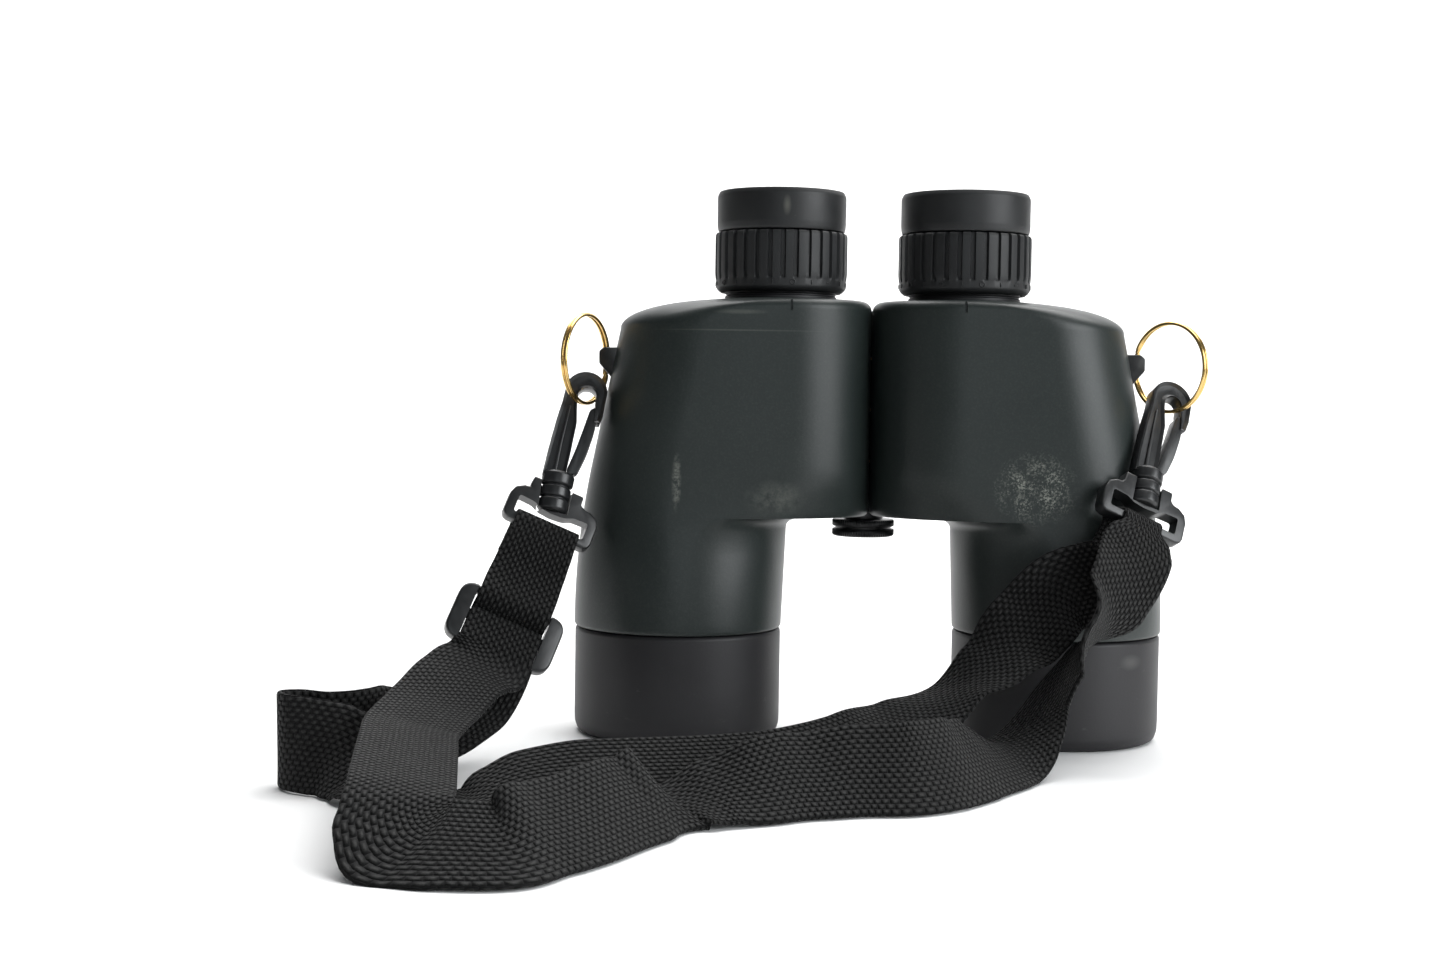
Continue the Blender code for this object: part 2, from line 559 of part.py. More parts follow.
def make_hinge():
    at = (0.0, HINGE_Y, 0.0)
    add_object("hinge_axle", cylinder(AXLE_R, 78.0, 126.0, 16), "steel", at)
    add_object("hinge_cap", cylinder(5.0, 126.5, 132.0, 20), "black_alloy", at)
    for label, low in (("lower", 84.3), ("middle", 100.7), ("upper", 117.1)):
        washer = [(AXLE_R + GAP, low), (6.8, low), (6.8, low + 0.6), (AXLE_R + GAP, low + 0.6)]
        add_object(label + "_hinge_washer", turned(washer, 16), "brass", at)
    socket = [(3.3, 69.9), (5.5, 69.9), (5.5, 77.0), (3.3, 77.0)]
    add_object("tripod_socket", turned(socket, 16), "brass", at)
    seal = [(3.3, 68.5), (6.0, 68.5), (6.0, 69.3), (3.3, 69.3)]
    add_object("tripod_cap_seal", turned(seal, 16), "seal_rubber", at)
    cap = [(0.0, 60.2), (9.0, 60.2), (10.0, 61.0), (10.0, 62.6), (9.3, 62.8), (9.3, 63.3), (10.0, 63.5),
           (10.0, 65.5), (9.7, 65.8), (6.3, 66.1), (6.3, 68.2), (3.0, 68.2), (3.0, 75.5), (0.0, 75.5)]
    add_object("tripod_cap", turned(cap, 24, closed=False), "fitting_plastic", at)


# Strap fittings -----------------------------------------------------------------------------

def ring_centre(name, side):
    heading = math.radians(RING_HEADING[name])
    return Vector((side * (LUG_HOLE_X + RING_MEAN_R * math.cos(heading)),
                   -RING_MEAN_R * math.sin(heading), RING_Z))


def make_lug(name, side, parent):
    """Wedge-shaped lug, flat on top and slanted below, with an upright hole for the ring."""
    wedge = [(74.0, 119.4), (83.6, 119.4), (85.4, 118.4), (85.4, 114.6), (80.0, 109.6), (74.0, 109.6)]
    outline = [(side * x, z) for x, z in wedge]
    lug = add_object(name + "_strap_lug", extruded(outline, 9.0), "fitting_plastic", parent=parent)
    shell = add_object(name + "_lug_seat_cutter", housing_outside(side, GAP))
    combine(lug, shell, "DIFFERENCE")
    heading = math.radians(RING_HEADING[name])
    bend = turned_torus(RING_MEAN_R, RING_WIRE_R + 0.75, 24, 8)
    axes = axes_from((side * math.cos(heading), -math.sin(heading), 0.0),
                     (side * math.sin(heading), math.cos(heading), 0.0))
    hole = add_object(name + "_lug_hole_cutter", bend, at=ring_centre(name, side), axes=axes)
    combine(lug, hole, "DIFFERENCE")


def turned_torus(mean, wire, steps, sides):
    profile = [(mean + wire * math.cos(2 * math.pi * index / sides),
                wire * math.sin(2 * math.pi * index / sides)) for index in range(sides)]
    return turned(profile, steps)


def make_ring(name, side, parent):
    heading = math.radians(RING_HEADING[name])
    axes = axes_from((side * math.cos(heading), -math.sin(heading), 0.0),
                     (side * math.sin(heading), math.cos(heading), 0.0))
    add_object(name + "_split_ring", turned_torus(RING_MEAN_R, RING_WIRE_R, 24, 6), "brass",
               ring_centre(name, side), axes, parent)


def hook_base_place(name, side):
    """Place of the swivel's lower end: the hook hangs so that its eye holds the ring's bottom."""
    axes = axes_from(HOOK_SIDE[name], HOOK_AXIS[name])
    eye = axes @ Vector((HOOK_EYE[0], 0.0, HOOK_EYE[1]))
    bottom = ring_centre(name, side) - Vector((0.0, 0.0, RING_MEAN_R))
    return bottom - eye, axes


def make_hook(name, side, parent):
    """Snap hook: grooved swivel base with a retained stem, an arm, an eye and a beak."""
    at, axes = hook_base_place(name, side)
    outline = [(-4.4, 12.0), (-3.9, 20.0), (-3.0, 30.0), (-2.6, 36.0)]
    outline += arc((3.2, 40.0), 6.0, 165, 10, 8)
    outline += [(9.5, 34.5), (8.9, 31.0), (7.3, 31.0), (7.1, 34.4), (6.5, 37.4)]
    outline += arc((3.6, 39.2), 2.9, 0, 180, 6)
    outline += [(0.7, 37.0), (1.6, 30.0), (1.4, 20.0), (1.0, 12.0)]
    hook = add_object(name + "_snap_hook", extruded(outline, 4.6), "fitting_plastic", at, axes, parent)
    base = [(0.0, -1.4), (2.3, -1.4), (2.3, -0.2), (1.2, 0.3), (1.2, 6.9), (4.2, 6.9), (4.6, 7.4),
            (4.6, 9.0), (4.0, 9.3), (4.0, 9.7), (4.8, 10.0), (4.8, 13.2), (0.0, 13.2)]
    guide = add_object(name + "_hook_base_guide", turned(base, 20, closed=False), at=at, axes=axes)
    combine(hook, guide, "UNION")
    gate = [(2.0, 13.6), (4.4, 13.6), (5.9, 21.0), (6.7, 28.5), (6.6, 34.0), (5.5, 35.4), (4.7, 34.4),
            (4.5, 28.5), (3.6, 21.0)]
    add_object(name + "_hook_gate", extruded(gate, 4.2), "fitting_plastic", at, axes, parent)


def make_frame(name, side, parent):
    """Loop that the webbing passes through, with two posts beside the hook's swivel base."""
    at, hook_axes = hook_base_place(name, side)
    axes = axes_from(FRAME_SIDE[name], FRAME_AXIS[name])
    half, low, shoulder, leg, rail = 14.0, -8.0, 5.5, 2.1, 2.6
    outline = arc((half - 4.0, shoulder - 4.0), 4.0, 0, 90, 3)
    outline += arc((-half + 4.0, shoulder - 4.0), 4.0, 90, 180, 3)
    outline += arc((-half + 2.0, low + 2.0), 2.0, 180, 270, 2)
    outline += arc((half - 2.0, low + 2.0), 2.0, 270, 360, 2)
    frame = add_object(name + "_strap_frame", extruded(outline, 4.6), "fitting_plastic", at, axes, parent)
    slot = block((-half + leg, -5.0, low + rail), (half - leg, 5.0, 1.7))
    combine(frame, add_object(name + "_slot_cutter", slot, at=at, axes=axes), "DIFFERENCE")
    posts = merged([block((-8.4, -2.1, 4.5), (-6.6, 2.1, 8.7)), block((6.6, -2.1, 4.5), (8.4, 2.1, 8.7))])
    combine(frame, add_object(name + "_post_guide", posts, at=at, axes=axes), "UNION")
    stem = cylinder(1.6, -2.0, 9.0, 12)
    combine(frame, add_object(name + "_stem_cutter", stem, at=at, axes=hook_axes), "DIFFERENCE")


def make_slider(parent):
    """Strap adjuster: two cheeks, end bars in front of the webbing, a middle bar behind it."""
    axes = axes_from(SLIDER_SIDE, SLIDER_AXIS)
    cheek = arc((13.4, 6.5), 2.0, 0, 90, 2) + [(13.0, 8.5), (13.0, -8.5)] + arc((13.4, -6.5), 2.0, -90, 0, 2)
    mirrored = [(-x, z) for x, z in cheek]
    bars = [block((-13.2, -2.4, 6.6), (13.2, -1.05, 8.5)), block((-13.2, -2.4, -8.5), (13.2, -1.05, -6.6)),
            block((-13.2, 1.05, -1.2), (13.2, 2.4, 1.2))]
    slider = add_object("strap_slider", extruded(cheek, 4.8), "fitting_plastic", SLIDER_AT, axes, parent)
    other = add_object("slider_cheek_guide", extruded(mirrored, 4.8), at=SLIDER_AT, axes=axes)
    beams = add_object("slider_bar_guide", merged(bars), at=SLIDER_AT, axes=axes)
    combine(slider, beams, "UNION")
    combine(slider, other, "UNION")


# Strap --------------------------------------------------------------------------------------

def smooth_point(points, place):
    """Catmull-Rom through a list of vectors; place 2.5 is halfway between the third and fourth."""
    last = len(points) - 1
    index = min(int(place), last - 1)
    share = place - index
    near = [points[min(max(index + step, 0), last)] for step in (-1, 0, 1, 2)]
    before, start, end, after = near
    return 0.5 * (2 * start + (end - before) * share
                  + (2 * before - 5 * start + 4 * end - after) * share ** 2
                  + (3 * start - before - 3 * end + after) * share ** 3)


def webbing(route, first, last, per_span=2):
    """A flat band swept between two stations of the route."""
    middles = [Vector(point) for point, across in route]
    acrosses = [Vector(across).normalized() for point, across in route]
    steps = int(round((last - first) * per_span))
    bm = bmesh.new()
    rings = []
    for step in range(steps + 1):
        place = first + (last - first) * step / steps
        middle = smooth_point(middles, place)
        ahead = smooth_point(middles, min(place + 0.02, len(route) - 1.0))
        behind = smooth_point(middles, max(place - 0.02, 0.0))
        along = (ahead - behind).normalized()
        across = smooth_point(acrosses, place)
        across = (across - along * across.dot(along)).normalized()
        proud = along.cross(across) * (WEB_THICK / 2)
        reach = across * (WEB_WIDTH / 2)
        middle.z = max(middle.z, abs(reach.z) + abs(proud.z) + FLOOR_GAP)
        near, far = middle - proud, middle + proud
        corners = (near - reach, near + reach, far + reach, far - reach)
        rings.append([bm.verts.new(corner) for corner in corners])
    for low, high in zip(rings, rings[1:]):
        for index in range(4):
            after = (index + 1) % 4
            bm.faces.new((low[index], low[after], high[after], high[index]))
    bm.faces.new(rings[0])
    bm.faces.new(rings[-1])
    return bm


def make_strap(left, right):
    end_gap = 0.02
    runs = (("strap_front_run", FRONT_RUN, 0.0, FRONT_SPLIT - end_gap, left),
            ("strap_front_rise", FRONT_RUN, FRONT_SPLIT + end_gap, len(FRONT_RUN) - 1.0, right),
            ("strap_return_drop", RETURN_RUN, 0.0, RETURN_SPLIT - end_gap, right),
            ("strap_return_run", RETURN_RUN, RETURN_SPLIT + end_gap, len(RETURN_RUN) - 1.0, left))
    for label, route, first, last, parent in runs:
        add_object(label, webbing(route, first, last), "webbing", parent=parent)


def main():
    clear_scene()
    halves = {}
    for name, side in HALVES.items():
        parent = add_empty(name + "_half")
        halves[name] = parent
        make_housing(name, side, parent)
        make_objective(name, side, parent)
        make_prisms(name, side, parent)
        make_eyepiece(name, side, parent)
        make_lug(name, side, parent)
        make_ring(name, side, parent)
        make_hook(name, side, parent)
        make_frame(name, side, parent)
    make_hinge()
    make_slider(halves["left"])
    make_strap(halves["left"], halves["right"])


main()
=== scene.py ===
"""Looks of the porro prism binoculars: camera, woven strap, detailed shells and fittings,
materials, floor and light.

The strap's route is in metres. Every other shape is drawn in millimetres and scaled by
add_piece(). All meshes lie in the row frame, with their objects at the origin.
"""
import math

import bmesh
import bpy
from mathutils import Matrix, Vector


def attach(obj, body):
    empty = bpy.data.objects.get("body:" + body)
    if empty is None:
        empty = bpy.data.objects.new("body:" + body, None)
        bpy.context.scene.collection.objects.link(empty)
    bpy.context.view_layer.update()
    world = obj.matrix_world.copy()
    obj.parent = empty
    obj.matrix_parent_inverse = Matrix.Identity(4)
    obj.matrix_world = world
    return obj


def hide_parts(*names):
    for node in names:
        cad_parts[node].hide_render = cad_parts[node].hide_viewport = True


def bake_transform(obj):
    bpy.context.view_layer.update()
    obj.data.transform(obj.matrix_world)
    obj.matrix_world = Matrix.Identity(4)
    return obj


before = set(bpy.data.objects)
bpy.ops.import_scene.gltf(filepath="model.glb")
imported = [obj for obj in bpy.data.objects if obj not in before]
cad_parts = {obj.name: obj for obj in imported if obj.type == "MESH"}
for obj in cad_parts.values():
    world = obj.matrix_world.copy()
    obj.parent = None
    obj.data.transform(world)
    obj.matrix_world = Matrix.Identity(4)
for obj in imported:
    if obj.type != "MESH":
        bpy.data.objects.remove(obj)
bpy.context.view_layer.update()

MM = 0.001
HALVES = {"left": -1, "right": 1}

# Driving dimensions, in millimetres, the same as the model's
OBJECTIVE_X = 59.0
OCULAR_X = 28.5
HINGE_Y = 22.3
HOOD_R = 32.0
HOOD_TOP = 33.0
SPIGOT_R = 28.7
BARREL_R = 32.3
ARCH_Z = 64.3
PRISM_R = 28.2
TOP_Z = 134.5
CROWN_Z = 125.5
CROWN_X = 45.0
CROWN_REACH = 33.0
TOP_EDGE_R = 3.0
SEAM_X = 0.15
KNUCKLE_R = 7.3
KNUCKLES = {"left": [(69.6, 84.0), (101.6, 116.8)], "right": [(85.2, 100.4), (118.0, 132.4)]}
RING_R = 20.5
RIB_COUNT = 32
EYECUP_R = 19.95
TOTAL_HEIGHT = 168.0
LUG_HOLE_X = 82.2
RING_MEAN_R = 13.5
RING_Z = 115.5
RING_HEADING = {"left": 65.0, "right": 52.0}
HOOK_AXIS = {"left": (0.15, 0.335, 0.93), "right": (0.23, 0.52, 0.823)}
HOOK_SIDE = {"left": (0.95, 0.05, -0.19), "right": (0.917, 0.133, -0.34)}
FRAME_AXIS = {"left": (0.30, 0.45, 0.84), "right": (0.28, 0.50, 0.82)}
FRAME_SIDE = {"left": (0.91, 0.14, -0.40), "right": (0.90, 0.168, -0.41)}
HOOK_EYE = (3.6, 37.2)
FRAME_HALF = 14.0
FRAME_DEPTH = 4.6
FRAME_LIFT = 5.5             # the frames' shoulders stand this far above the swivels' origins
FRAME_LOW = -6.2
FRAME_RAIL = 2.4
SLIDER_AT = (-108.8, -42.0, 36.1)
SLIDER_AXIS = (0.32, 0.444, 0.836)
SLIDER_SIDE = (0.906, 0.117, -0.408)

# Webbing, in metres
WEB_WIDTH = 0.025
WEB_THICK = 0.0015
WEB_STEP = 0.0012            # distance between the webbing's cross-sections
FLOOR_GAP = 0.0001

# The strap's route on the floor: middle of the webbing and the direction across it. The front
# run is listed from below the slider to the right frame, the return run from there to the slider.
FRONT_RUN = [
    ((-0.1126, -0.0524, 0.0274), (0.905, 0.10, -0.41)),
    ((-0.1154, -0.0575, 0.0266), (0.91, 0.05, -0.38)),
    ((-0.1182, -0.0650, 0.0252), (0.94, 0.0, -0.33)),
    ((-0.1222, -0.0800, 0.0212), (0.95, 0.0, -0.30)),
    ((-0.1242, -0.0950, 0.0194), (0.97, 0.0, -0.26)),
    ((-0.1250, -0.1045, 0.0185), (0.97, 0.0, -0.25)),
    ((-0.1246, -0.1120, 0.0186), (0.975, -0.02, -0.21)),
    ((-0.1227, -0.1270, 0.0183), (0.98, -0.05, -0.18)),
    ((-0.1206, -0.1440, 0.0177), (0.98, -0.09, -0.15)),
    ((-0.1186, -0.1600, 0.0169), (0.98, -0.13, -0.13)),
    ((-0.1172, -0.1715, 0.0160), (0.98, -0.15, -0.12)),
    ((-0.1167, -0.1776, 0.0145), (0.975, -0.08, -0.05)),
    ((-0.1156, -0.1826, 0.0112), (0.90, 0.30, 0.25)),
    ((-0.1130, -0.1869, 0.0086), (0.733, 0.508, 0.453)),
    ((-0.1079, -0.1902, 0.0071), (0.43, 0.70, 0.57)),
    ((-0.1016, -0.1914, 0.0071), (0.12, 0.80, 0.58)),
    ((-0.0910, -0.1902, 0.0074), (-0.05, 0.83, 0.56)),
    ((-0.0825, -0.1793, 0.0072), (-0.12, 0.83, 0.545)),
    ((-0.0738, -0.1660, 0.0071), (-0.15, 0.835, 0.53)),
    ((-0.0635, -0.1475, 0.0049), (0.0, 0.93, 0.36)),
    ((-0.0555, -0.1330, 0.0042), (0.04, 0.965, 0.26)),
    ((-0.0460, -0.1285, 0.0071), (0.0, 0.86, 0.515)),
    ((-0.0360, -0.1265, 0.0092), (0.0, 0.72, 0.695)),
    ((-0.0230, -0.1205, 0.0098), (0.0, 0.67, 0.743)),
    ((-0.0090, -0.1175, 0.0109), (0.0, 0.545, 0.839)),
    ((0.0040, -0.1160, 0.0112), (-0.05, 0.50, 0.866)),
    ((0.0140, -0.1085, 0.0113), (-0.22, 0.50, 0.84)),
    ((0.0220, -0.0955, 0.0096), (-0.25, 0.74, 0.63)),
    ((0.0305, -0.0790, 0.0074), (-0.32, 0.85, 0.42)),
    ((0.0395, -0.0620, 0.0082), (-0.35, 0.93, 0.10)),
    ((0.0480, -0.0510, 0.0170), (-0.30, 0.95, -0.05)),
    ((0.0560, -0.0508, 0.0290), (-0.15, 0.98, -0.10)),
    ((0.0630, -0.0530, 0.0400), (0.25, 0.85, -0.45)),
    ((0.0690, -0.0482, 0.0500), (0.75, 0.45, -0.40)),
]
RETURN_RUN = [
    ((0.0693, -0.0382, 0.0540), (0.80, 0.15, -0.58)),
    ((0.0630, -0.0378, 0.0516), (0.45, 0.02, -0.89)),
    ((0.0555, -0.0386, 0.0494), (0.18, -0.10, -0.98)),
    ((0.0447, -0.0432, 0.0400), (0.02, -0.45, -0.89)),
    ((0.0330, -0.0500, 0.0295), (-0.03, -0.83, -0.55)),
    ((0.0215, -0.0560, 0.0215), (0.0, -0.98, -0.20)),
    ((0.0075, -0.0680, 0.0150), (0.0, -0.92, -0.38)),
    ((-0.0080, -0.0855, 0.0108), (0.0, -0.84, -0.54)),
    ((-0.0250, -0.0990, 0.0088), (0.0, -0.82, -0.57)),
    ((-0.0420, -0.1070, 0.0084), (0.0, -0.81, -0.58)),
    ((-0.0620, -0.1125, 0.0084), (0.0, -0.81, -0.58)),
    ((-0.0800, -0.1145, 0.0080), (0.0, -0.82, -0.57)),
    ((-0.0930, -0.1170, 0.0068), (0.10, -0.87, -0.48)),
    ((-0.1015, -0.1205, 0.0046), (0.22, -0.92, -0.32)),
    ((-0.1080, -0.1235, 0.0020), (0.22, -0.97, -0.10)),
    ((-0.1150, -0.1245, 0.0010), (0.05, -1.0, 0.0)),
    ((-0.1215, -0.1210, 0.0012), (-0.10, -0.99, -0.03)),
    ((-0.1280, -0.1160, 0.0030), (-0.15, -0.96, -0.22)),
    ((-0.1340, -0.1118, 0.0068), (-0.10, -0.84, -0.53)),
    ((-0.1400, -0.1075, 0.0094), (-0.04, -0.63, -0.77)),
    ((-0.1470, -0.1045, 0.0115), (0.0, -0.36, -0.93)),
    ((-0.1540, -0.1028, 0.0125), (0.02, -0.25, -0.97)),
    ((-0.1598, -0.0998, 0.0128), (0.03, -0.10, -0.99)),
    ((-0.1618, -0.0950, 0.0130), (0.02, 0.0, -1.0)),
    ((-0.1585, -0.0902, 0.0129), (0.0, 0.15, -0.99)),
    ((-0.1510, -0.0875, 0.0124), (0.05, 0.25, -0.96)),
    ((-0.1420, -0.0840, 0.0118), (0.25, 0.28, -0.92)),
    ((-0.1335, -0.0785, 0.0119), (0.60, 0.15, -0.78)),
    ((-0.1260, -0.0700, 0.0124), (0.85, 0.05, -0.52)),
    ((-0.1205, -0.0600, 0.0144), (0.91, 0.0, -0.41)),
    ((-0.1164, -0.0526, 0.0180), (0.91, 0.08, -0.41)),
    ((-0.1137, -0.0488, 0.0230), (0.905, 0.10, -0.41)),
    ((-0.1117, -0.0461, 0.0285), (0.906, 0.117, -0.408)),
]
# Share of its width that the webbing spreads to at the corner, by station of the front run
CORNER_SPREAD = {11: 1.02, 12: 1.10, 13: 1.16, 14: 1.04}


# Shapes -------------------------------------------------------------------------------------

def linked(name, data):
    """New object in the scene."""
    made = bpy.data.objects.new(name, data)
    bpy.context.scene.collection.objects.link(made)
    return made


def add_piece(name, bm, body, paint, replaced=(), scale=MM, sharp=40.0):
    """Turn a bmesh into a piece that rides on a body and stands for the named CAD nodes."""
    bmesh.ops.recalc_face_normals(bm, faces=bm.faces)
    bmesh.ops.scale(bm, vec=(scale, scale, scale), verts=bm.verts)
    mesh = bpy.data.meshes.new(name)
    bm.to_mesh(mesh)
    bm.free()
    mesh.shade_smooth()
    if sharp:
        mesh.set_sharp_from_angle(angle=math.radians(sharp))
    piece = linked(name, mesh)
    if paint:
        mesh.materials.append(paint)
    if body:
        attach(piece, body)
    if replaced:
        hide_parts(*replaced)
    return piece


def placed(bm, at, axes=None):
    """Move a bmesh drawn about its own origin to its place in the row frame."""
    matrix = Matrix.Translation(Vector(at))
    if axes is not None:
        matrix = matrix @ axes.to_4x4()
    bmesh.ops.transform(bm, matrix=matrix, verts=bm.verts)
    return bm


def axes_from(side, axis):
    """Axes with Z along the axis and X as near as can be to the side."""
    z_axis = Vector(axis).normalized()
    x_axis = Vector(side)
    x_axis = (x_axis - z_axis * x_axis.dot(z_axis)).normalized()
    return Matrix((x_axis, z_axis.cross(x_axis), z_axis)).transposed()


def arc(centre, radius, start, end, count):
    """Points on an arc between two angles in degrees."""
    points = []
    for index in range(count + 1):
        angle = math.radians(start + (end - start) * index / count)
        points.append((centre[0] + radius * math.cos(angle), centre[1] + radius * math.sin(angle)))
    return points


def rounded(profile, radius, closed, count=4):
    """Replace each corner of an outline by an arc-like curve of about that radius."""
    points = []
    size = len(profile)
    for index, corner in enumerate(profile):
        if not closed and index in (0, size - 1):
            points.append(corner)
            continue
        here = Vector(corner)
        before = Vector(profile[index - 1]) - here
        after = Vector(profile[(index + 1) % size]) - here
        cut = min(radius, before.length * 0.45, after.length * 0.45)
        start = here + before.normalized() * cut
        end = here + after.normalized() * cut
        for step in range(count + 1):
            share = step / count
            bend = start.lerp(here, share).lerp(here.lerp(end, share), share)
            points.append((bend.x, bend.y))
    return points


def turned(profile, steps=96, closed=True, corner=0.0):
    """Spin an outline of (radius, height) points about Z."""
    if corner:
        profile = rounded(profile, corner, closed)
    bm = bmesh.new()
    verts = [bm.verts.new((radius, 0.0, height)) for radius, height in profile]
    edges = [bm.edges.new(pair) for pair in zip(verts, verts[1:])]
    if closed:
        edges.append(bm.edges.new((verts[-1], verts[0])))
    bmesh.ops.spin(bm, geom=verts + edges, cent=(0, 0, 0), axis=(0, 0, 1),
                   angle=2 * math.pi, steps=steps, use_duplicate=False)
    bmesh.ops.remove_doubles(bm, verts=bm.verts, dist=1e-4)
    return bm


def extruded(outline, depth):
    """Extrude an outline of (x, z) points along Y, centred on Y = 0."""
    bm = bmesh.new()
    face = bm.faces.new([bm.verts.new((x, -depth / 2, z)) for x, z in outline])
    grown = bmesh.ops.extrude_face_region(bm, geom=[face])
    moved = [item for item in grown["geom"] if isinstance(item, bmesh.types.BMVert)]
    bmesh.ops.translate(bm, vec=(0.0, depth, 0.0), verts=moved)
    bmesh.ops.recalc_face_normals(bm, faces=bm.faces)
    return bm


def soften(bm, width, segments=3, angle=25.0):
    """Bevel every edge sharper than the angle."""
    edges = [edge for edge in bm.edges
             if len(edge.link_faces) == 2 and edge.calc_face_angle(0.0) > math.radians(angle)]
    bmesh.ops.bevel(bm, geom=edges, offset=width, offset_type="OFFSET", segments=segments,
                    profile=0.5, affect="EDGES", clamp_overlap=True)
    return bm


def block(low, high):
    """Box between two corners."""
    bm = bmesh.new()
    bmesh.ops.create_cube(bm, size=1.0)
    bmesh.ops.scale(bm, vec=Vector(high) - Vector(low), verts=bm.verts)
    bmesh.ops.translate(bm, vec=(Vector(high) + Vector(low)) / 2, verts=bm.verts)
    return bm


def bridge(bm, rings):
    """Faces between each ring of vertices and the next."""
    for low, high in zip(rings, rings[1:]):
        for index in range(len(low)):
            after = (index + 1) % len(low)
            bm.faces.new((low[index], low[after], high[after], high[index]))


def merged(parts):
    """One bmesh from several, which are used up."""
    result = bmesh.new()
    for bm in parts:
        scratch = bpy.data.meshes.new("scratch")
        bm.to_mesh(scratch)
        bm.free()
        result.from_mesh(scratch)
        bpy.data.meshes.remove(scratch)
    return result


def cut_or_join(piece, bm, operation):
    """Boolean of a piece with a bmesh in millimetres, applied at once."""
    bmesh.ops.recalc_face_normals(bm, faces=bm.faces)
    bmesh.ops.scale(bm, vec=(MM, MM, MM), verts=bm.verts)
    mesh = bpy.data.meshes.new("operand")
    bm.to_mesh(mesh)
    bm.free()
    operand = linked("operand", mesh)
    modifier = piece.modifiers.new("boolean", "BOOLEAN")
    modifier.operation = operation
    modifier.object = operand
    modifier.solver = "EXACT"
    depsgraph = bpy.context.evaluated_depsgraph_get()
    result = bpy.data.meshes.new_from_object(piece.evaluated_get(depsgraph))
    piece.modifiers.clear()
    paint = list(piece.data.materials)
    piece.data = result
    result.materials.clear()
    for found in paint:
        result.materials.append(found)
    result.shade_smooth()
    result.set_sharp_from_angle(angle=math.radians(35))
    bpy.data.objects.remove(operand, do_unlink=True)


# Material nodes -----------------------------------------------------------------------------

class Paint:
    """A Principled material with short calls for the nodes that feed it."""

    def __init__(self, name, colour, roughness, metallic=0.0, **constants):
        self.material = bpy.data.materials.new(name)
        self.material.use_nodes = True
        self.tree = self.material.node_tree
        self.shader = self.tree.nodes["Principled BSDF"]
        self.shader.inputs["Base Color"].default_value = (*colour, 1.0)
        self.shader.inputs["Roughness"].default_value = roughness
        self.shader.inputs["Metallic"].default_value = metallic
        for socket, value in constants.items():
            self.shader.inputs[socket.replace("_", " ")].default_value = value
        self.bump = None

    def node(self, kind, inputs=(), **settings):
        made = self.tree.nodes.new(kind)
        for setting, value in settings.items():
            setattr(made, setting, value)
        for socket, value in dict(inputs).items():
            if isinstance(value, bpy.types.NodeSocket):
                self.tree.links.new(value, made.inputs[socket])
            else:
                made.inputs[socket].default_value = value
        return made

    def math(self, operation, first, second=0.5, clamp=False):
        made = self.node("ShaderNodeMath", {0: first, 1: second}, operation=operation, use_clamp=clamp)
        return made.outputs[0]

    def total(self, *values):
        """Sum of several values, kept between 0 and 1."""
        result = values[0]
        for value in values[1:]:
            result = self.math("ADD", result, value, clamp=True)
        return result

    def times(self, *values):
        result = values[0]
        for value in values[1:]:
            result = self.math("MULTIPLY", result, value)
        return result

    def where(self):
        return self.node("ShaderNodeTexCoord").outputs["Object"]

    def noise(self, scale, detail=3.0, roughness=0.55, stretch=None):
        place = self.where()
        if stretch:
            place = self.node("ShaderNodeMapping", {"Vector": place, "Scale": stretch}).outputs[0]
        made = self.node("ShaderNodeTexNoise", {"Vector": place, "Scale": scale, "Detail": detail,
                                                "Roughness": roughness})
        return made.outputs[0]

    def ramp(self, value, low, high):
        """0 below low and 1 above high."""
        made = self.node("ShaderNodeMapRange", {"Value": value, "From Min": low, "From Max": high},
                         clamp=True)
        return made.outputs[0]

    def mix(self, share, first, second):
        made = self.node("ShaderNodeMix", data_type="RGBA")
        for index, value in ((0, share), (6, first), (7, second)):
            if isinstance(value, bpy.types.NodeSocket):
                self.tree.links.new(value, made.inputs[index])
            else:
                made.inputs[index].default_value = value if index == 0 else (*value, 1.0)
        return made.outputs[2]

    def feed(self, socket, value):
        self.tree.links.new(value, self.shader.inputs[socket])

    def relief(self, height, distance, strength=1.0):
        """Stack a bump on the ones before it."""
        inputs = {"Height": height, "Distance": distance, "Strength": strength}
        if self.bump:
            inputs["Normal"] = self.bump
        self.bump = self.node("ShaderNodeBump", inputs).outputs[0]
        self.feed("Normal", self.bump)

    def spot(self, centre, radii, soft=0.4):
        """1 inside an ellipsoid about a point in the row frame, fading out at its edge."""
        shift = [-c / r for c, r in zip(centre, radii)]
        scaled = self.node("ShaderNodeMapping", {"Vector": self.where(), "Location": shift,
                                                 "Scale": [1.0 / r for r in radii]}).outputs[0]
        length = self.node("ShaderNodeVectorMath", {0: scaled}, operation="LENGTH").outputs["Value"]
        return self.ramp(length, 1.0, 1.0 - soft)


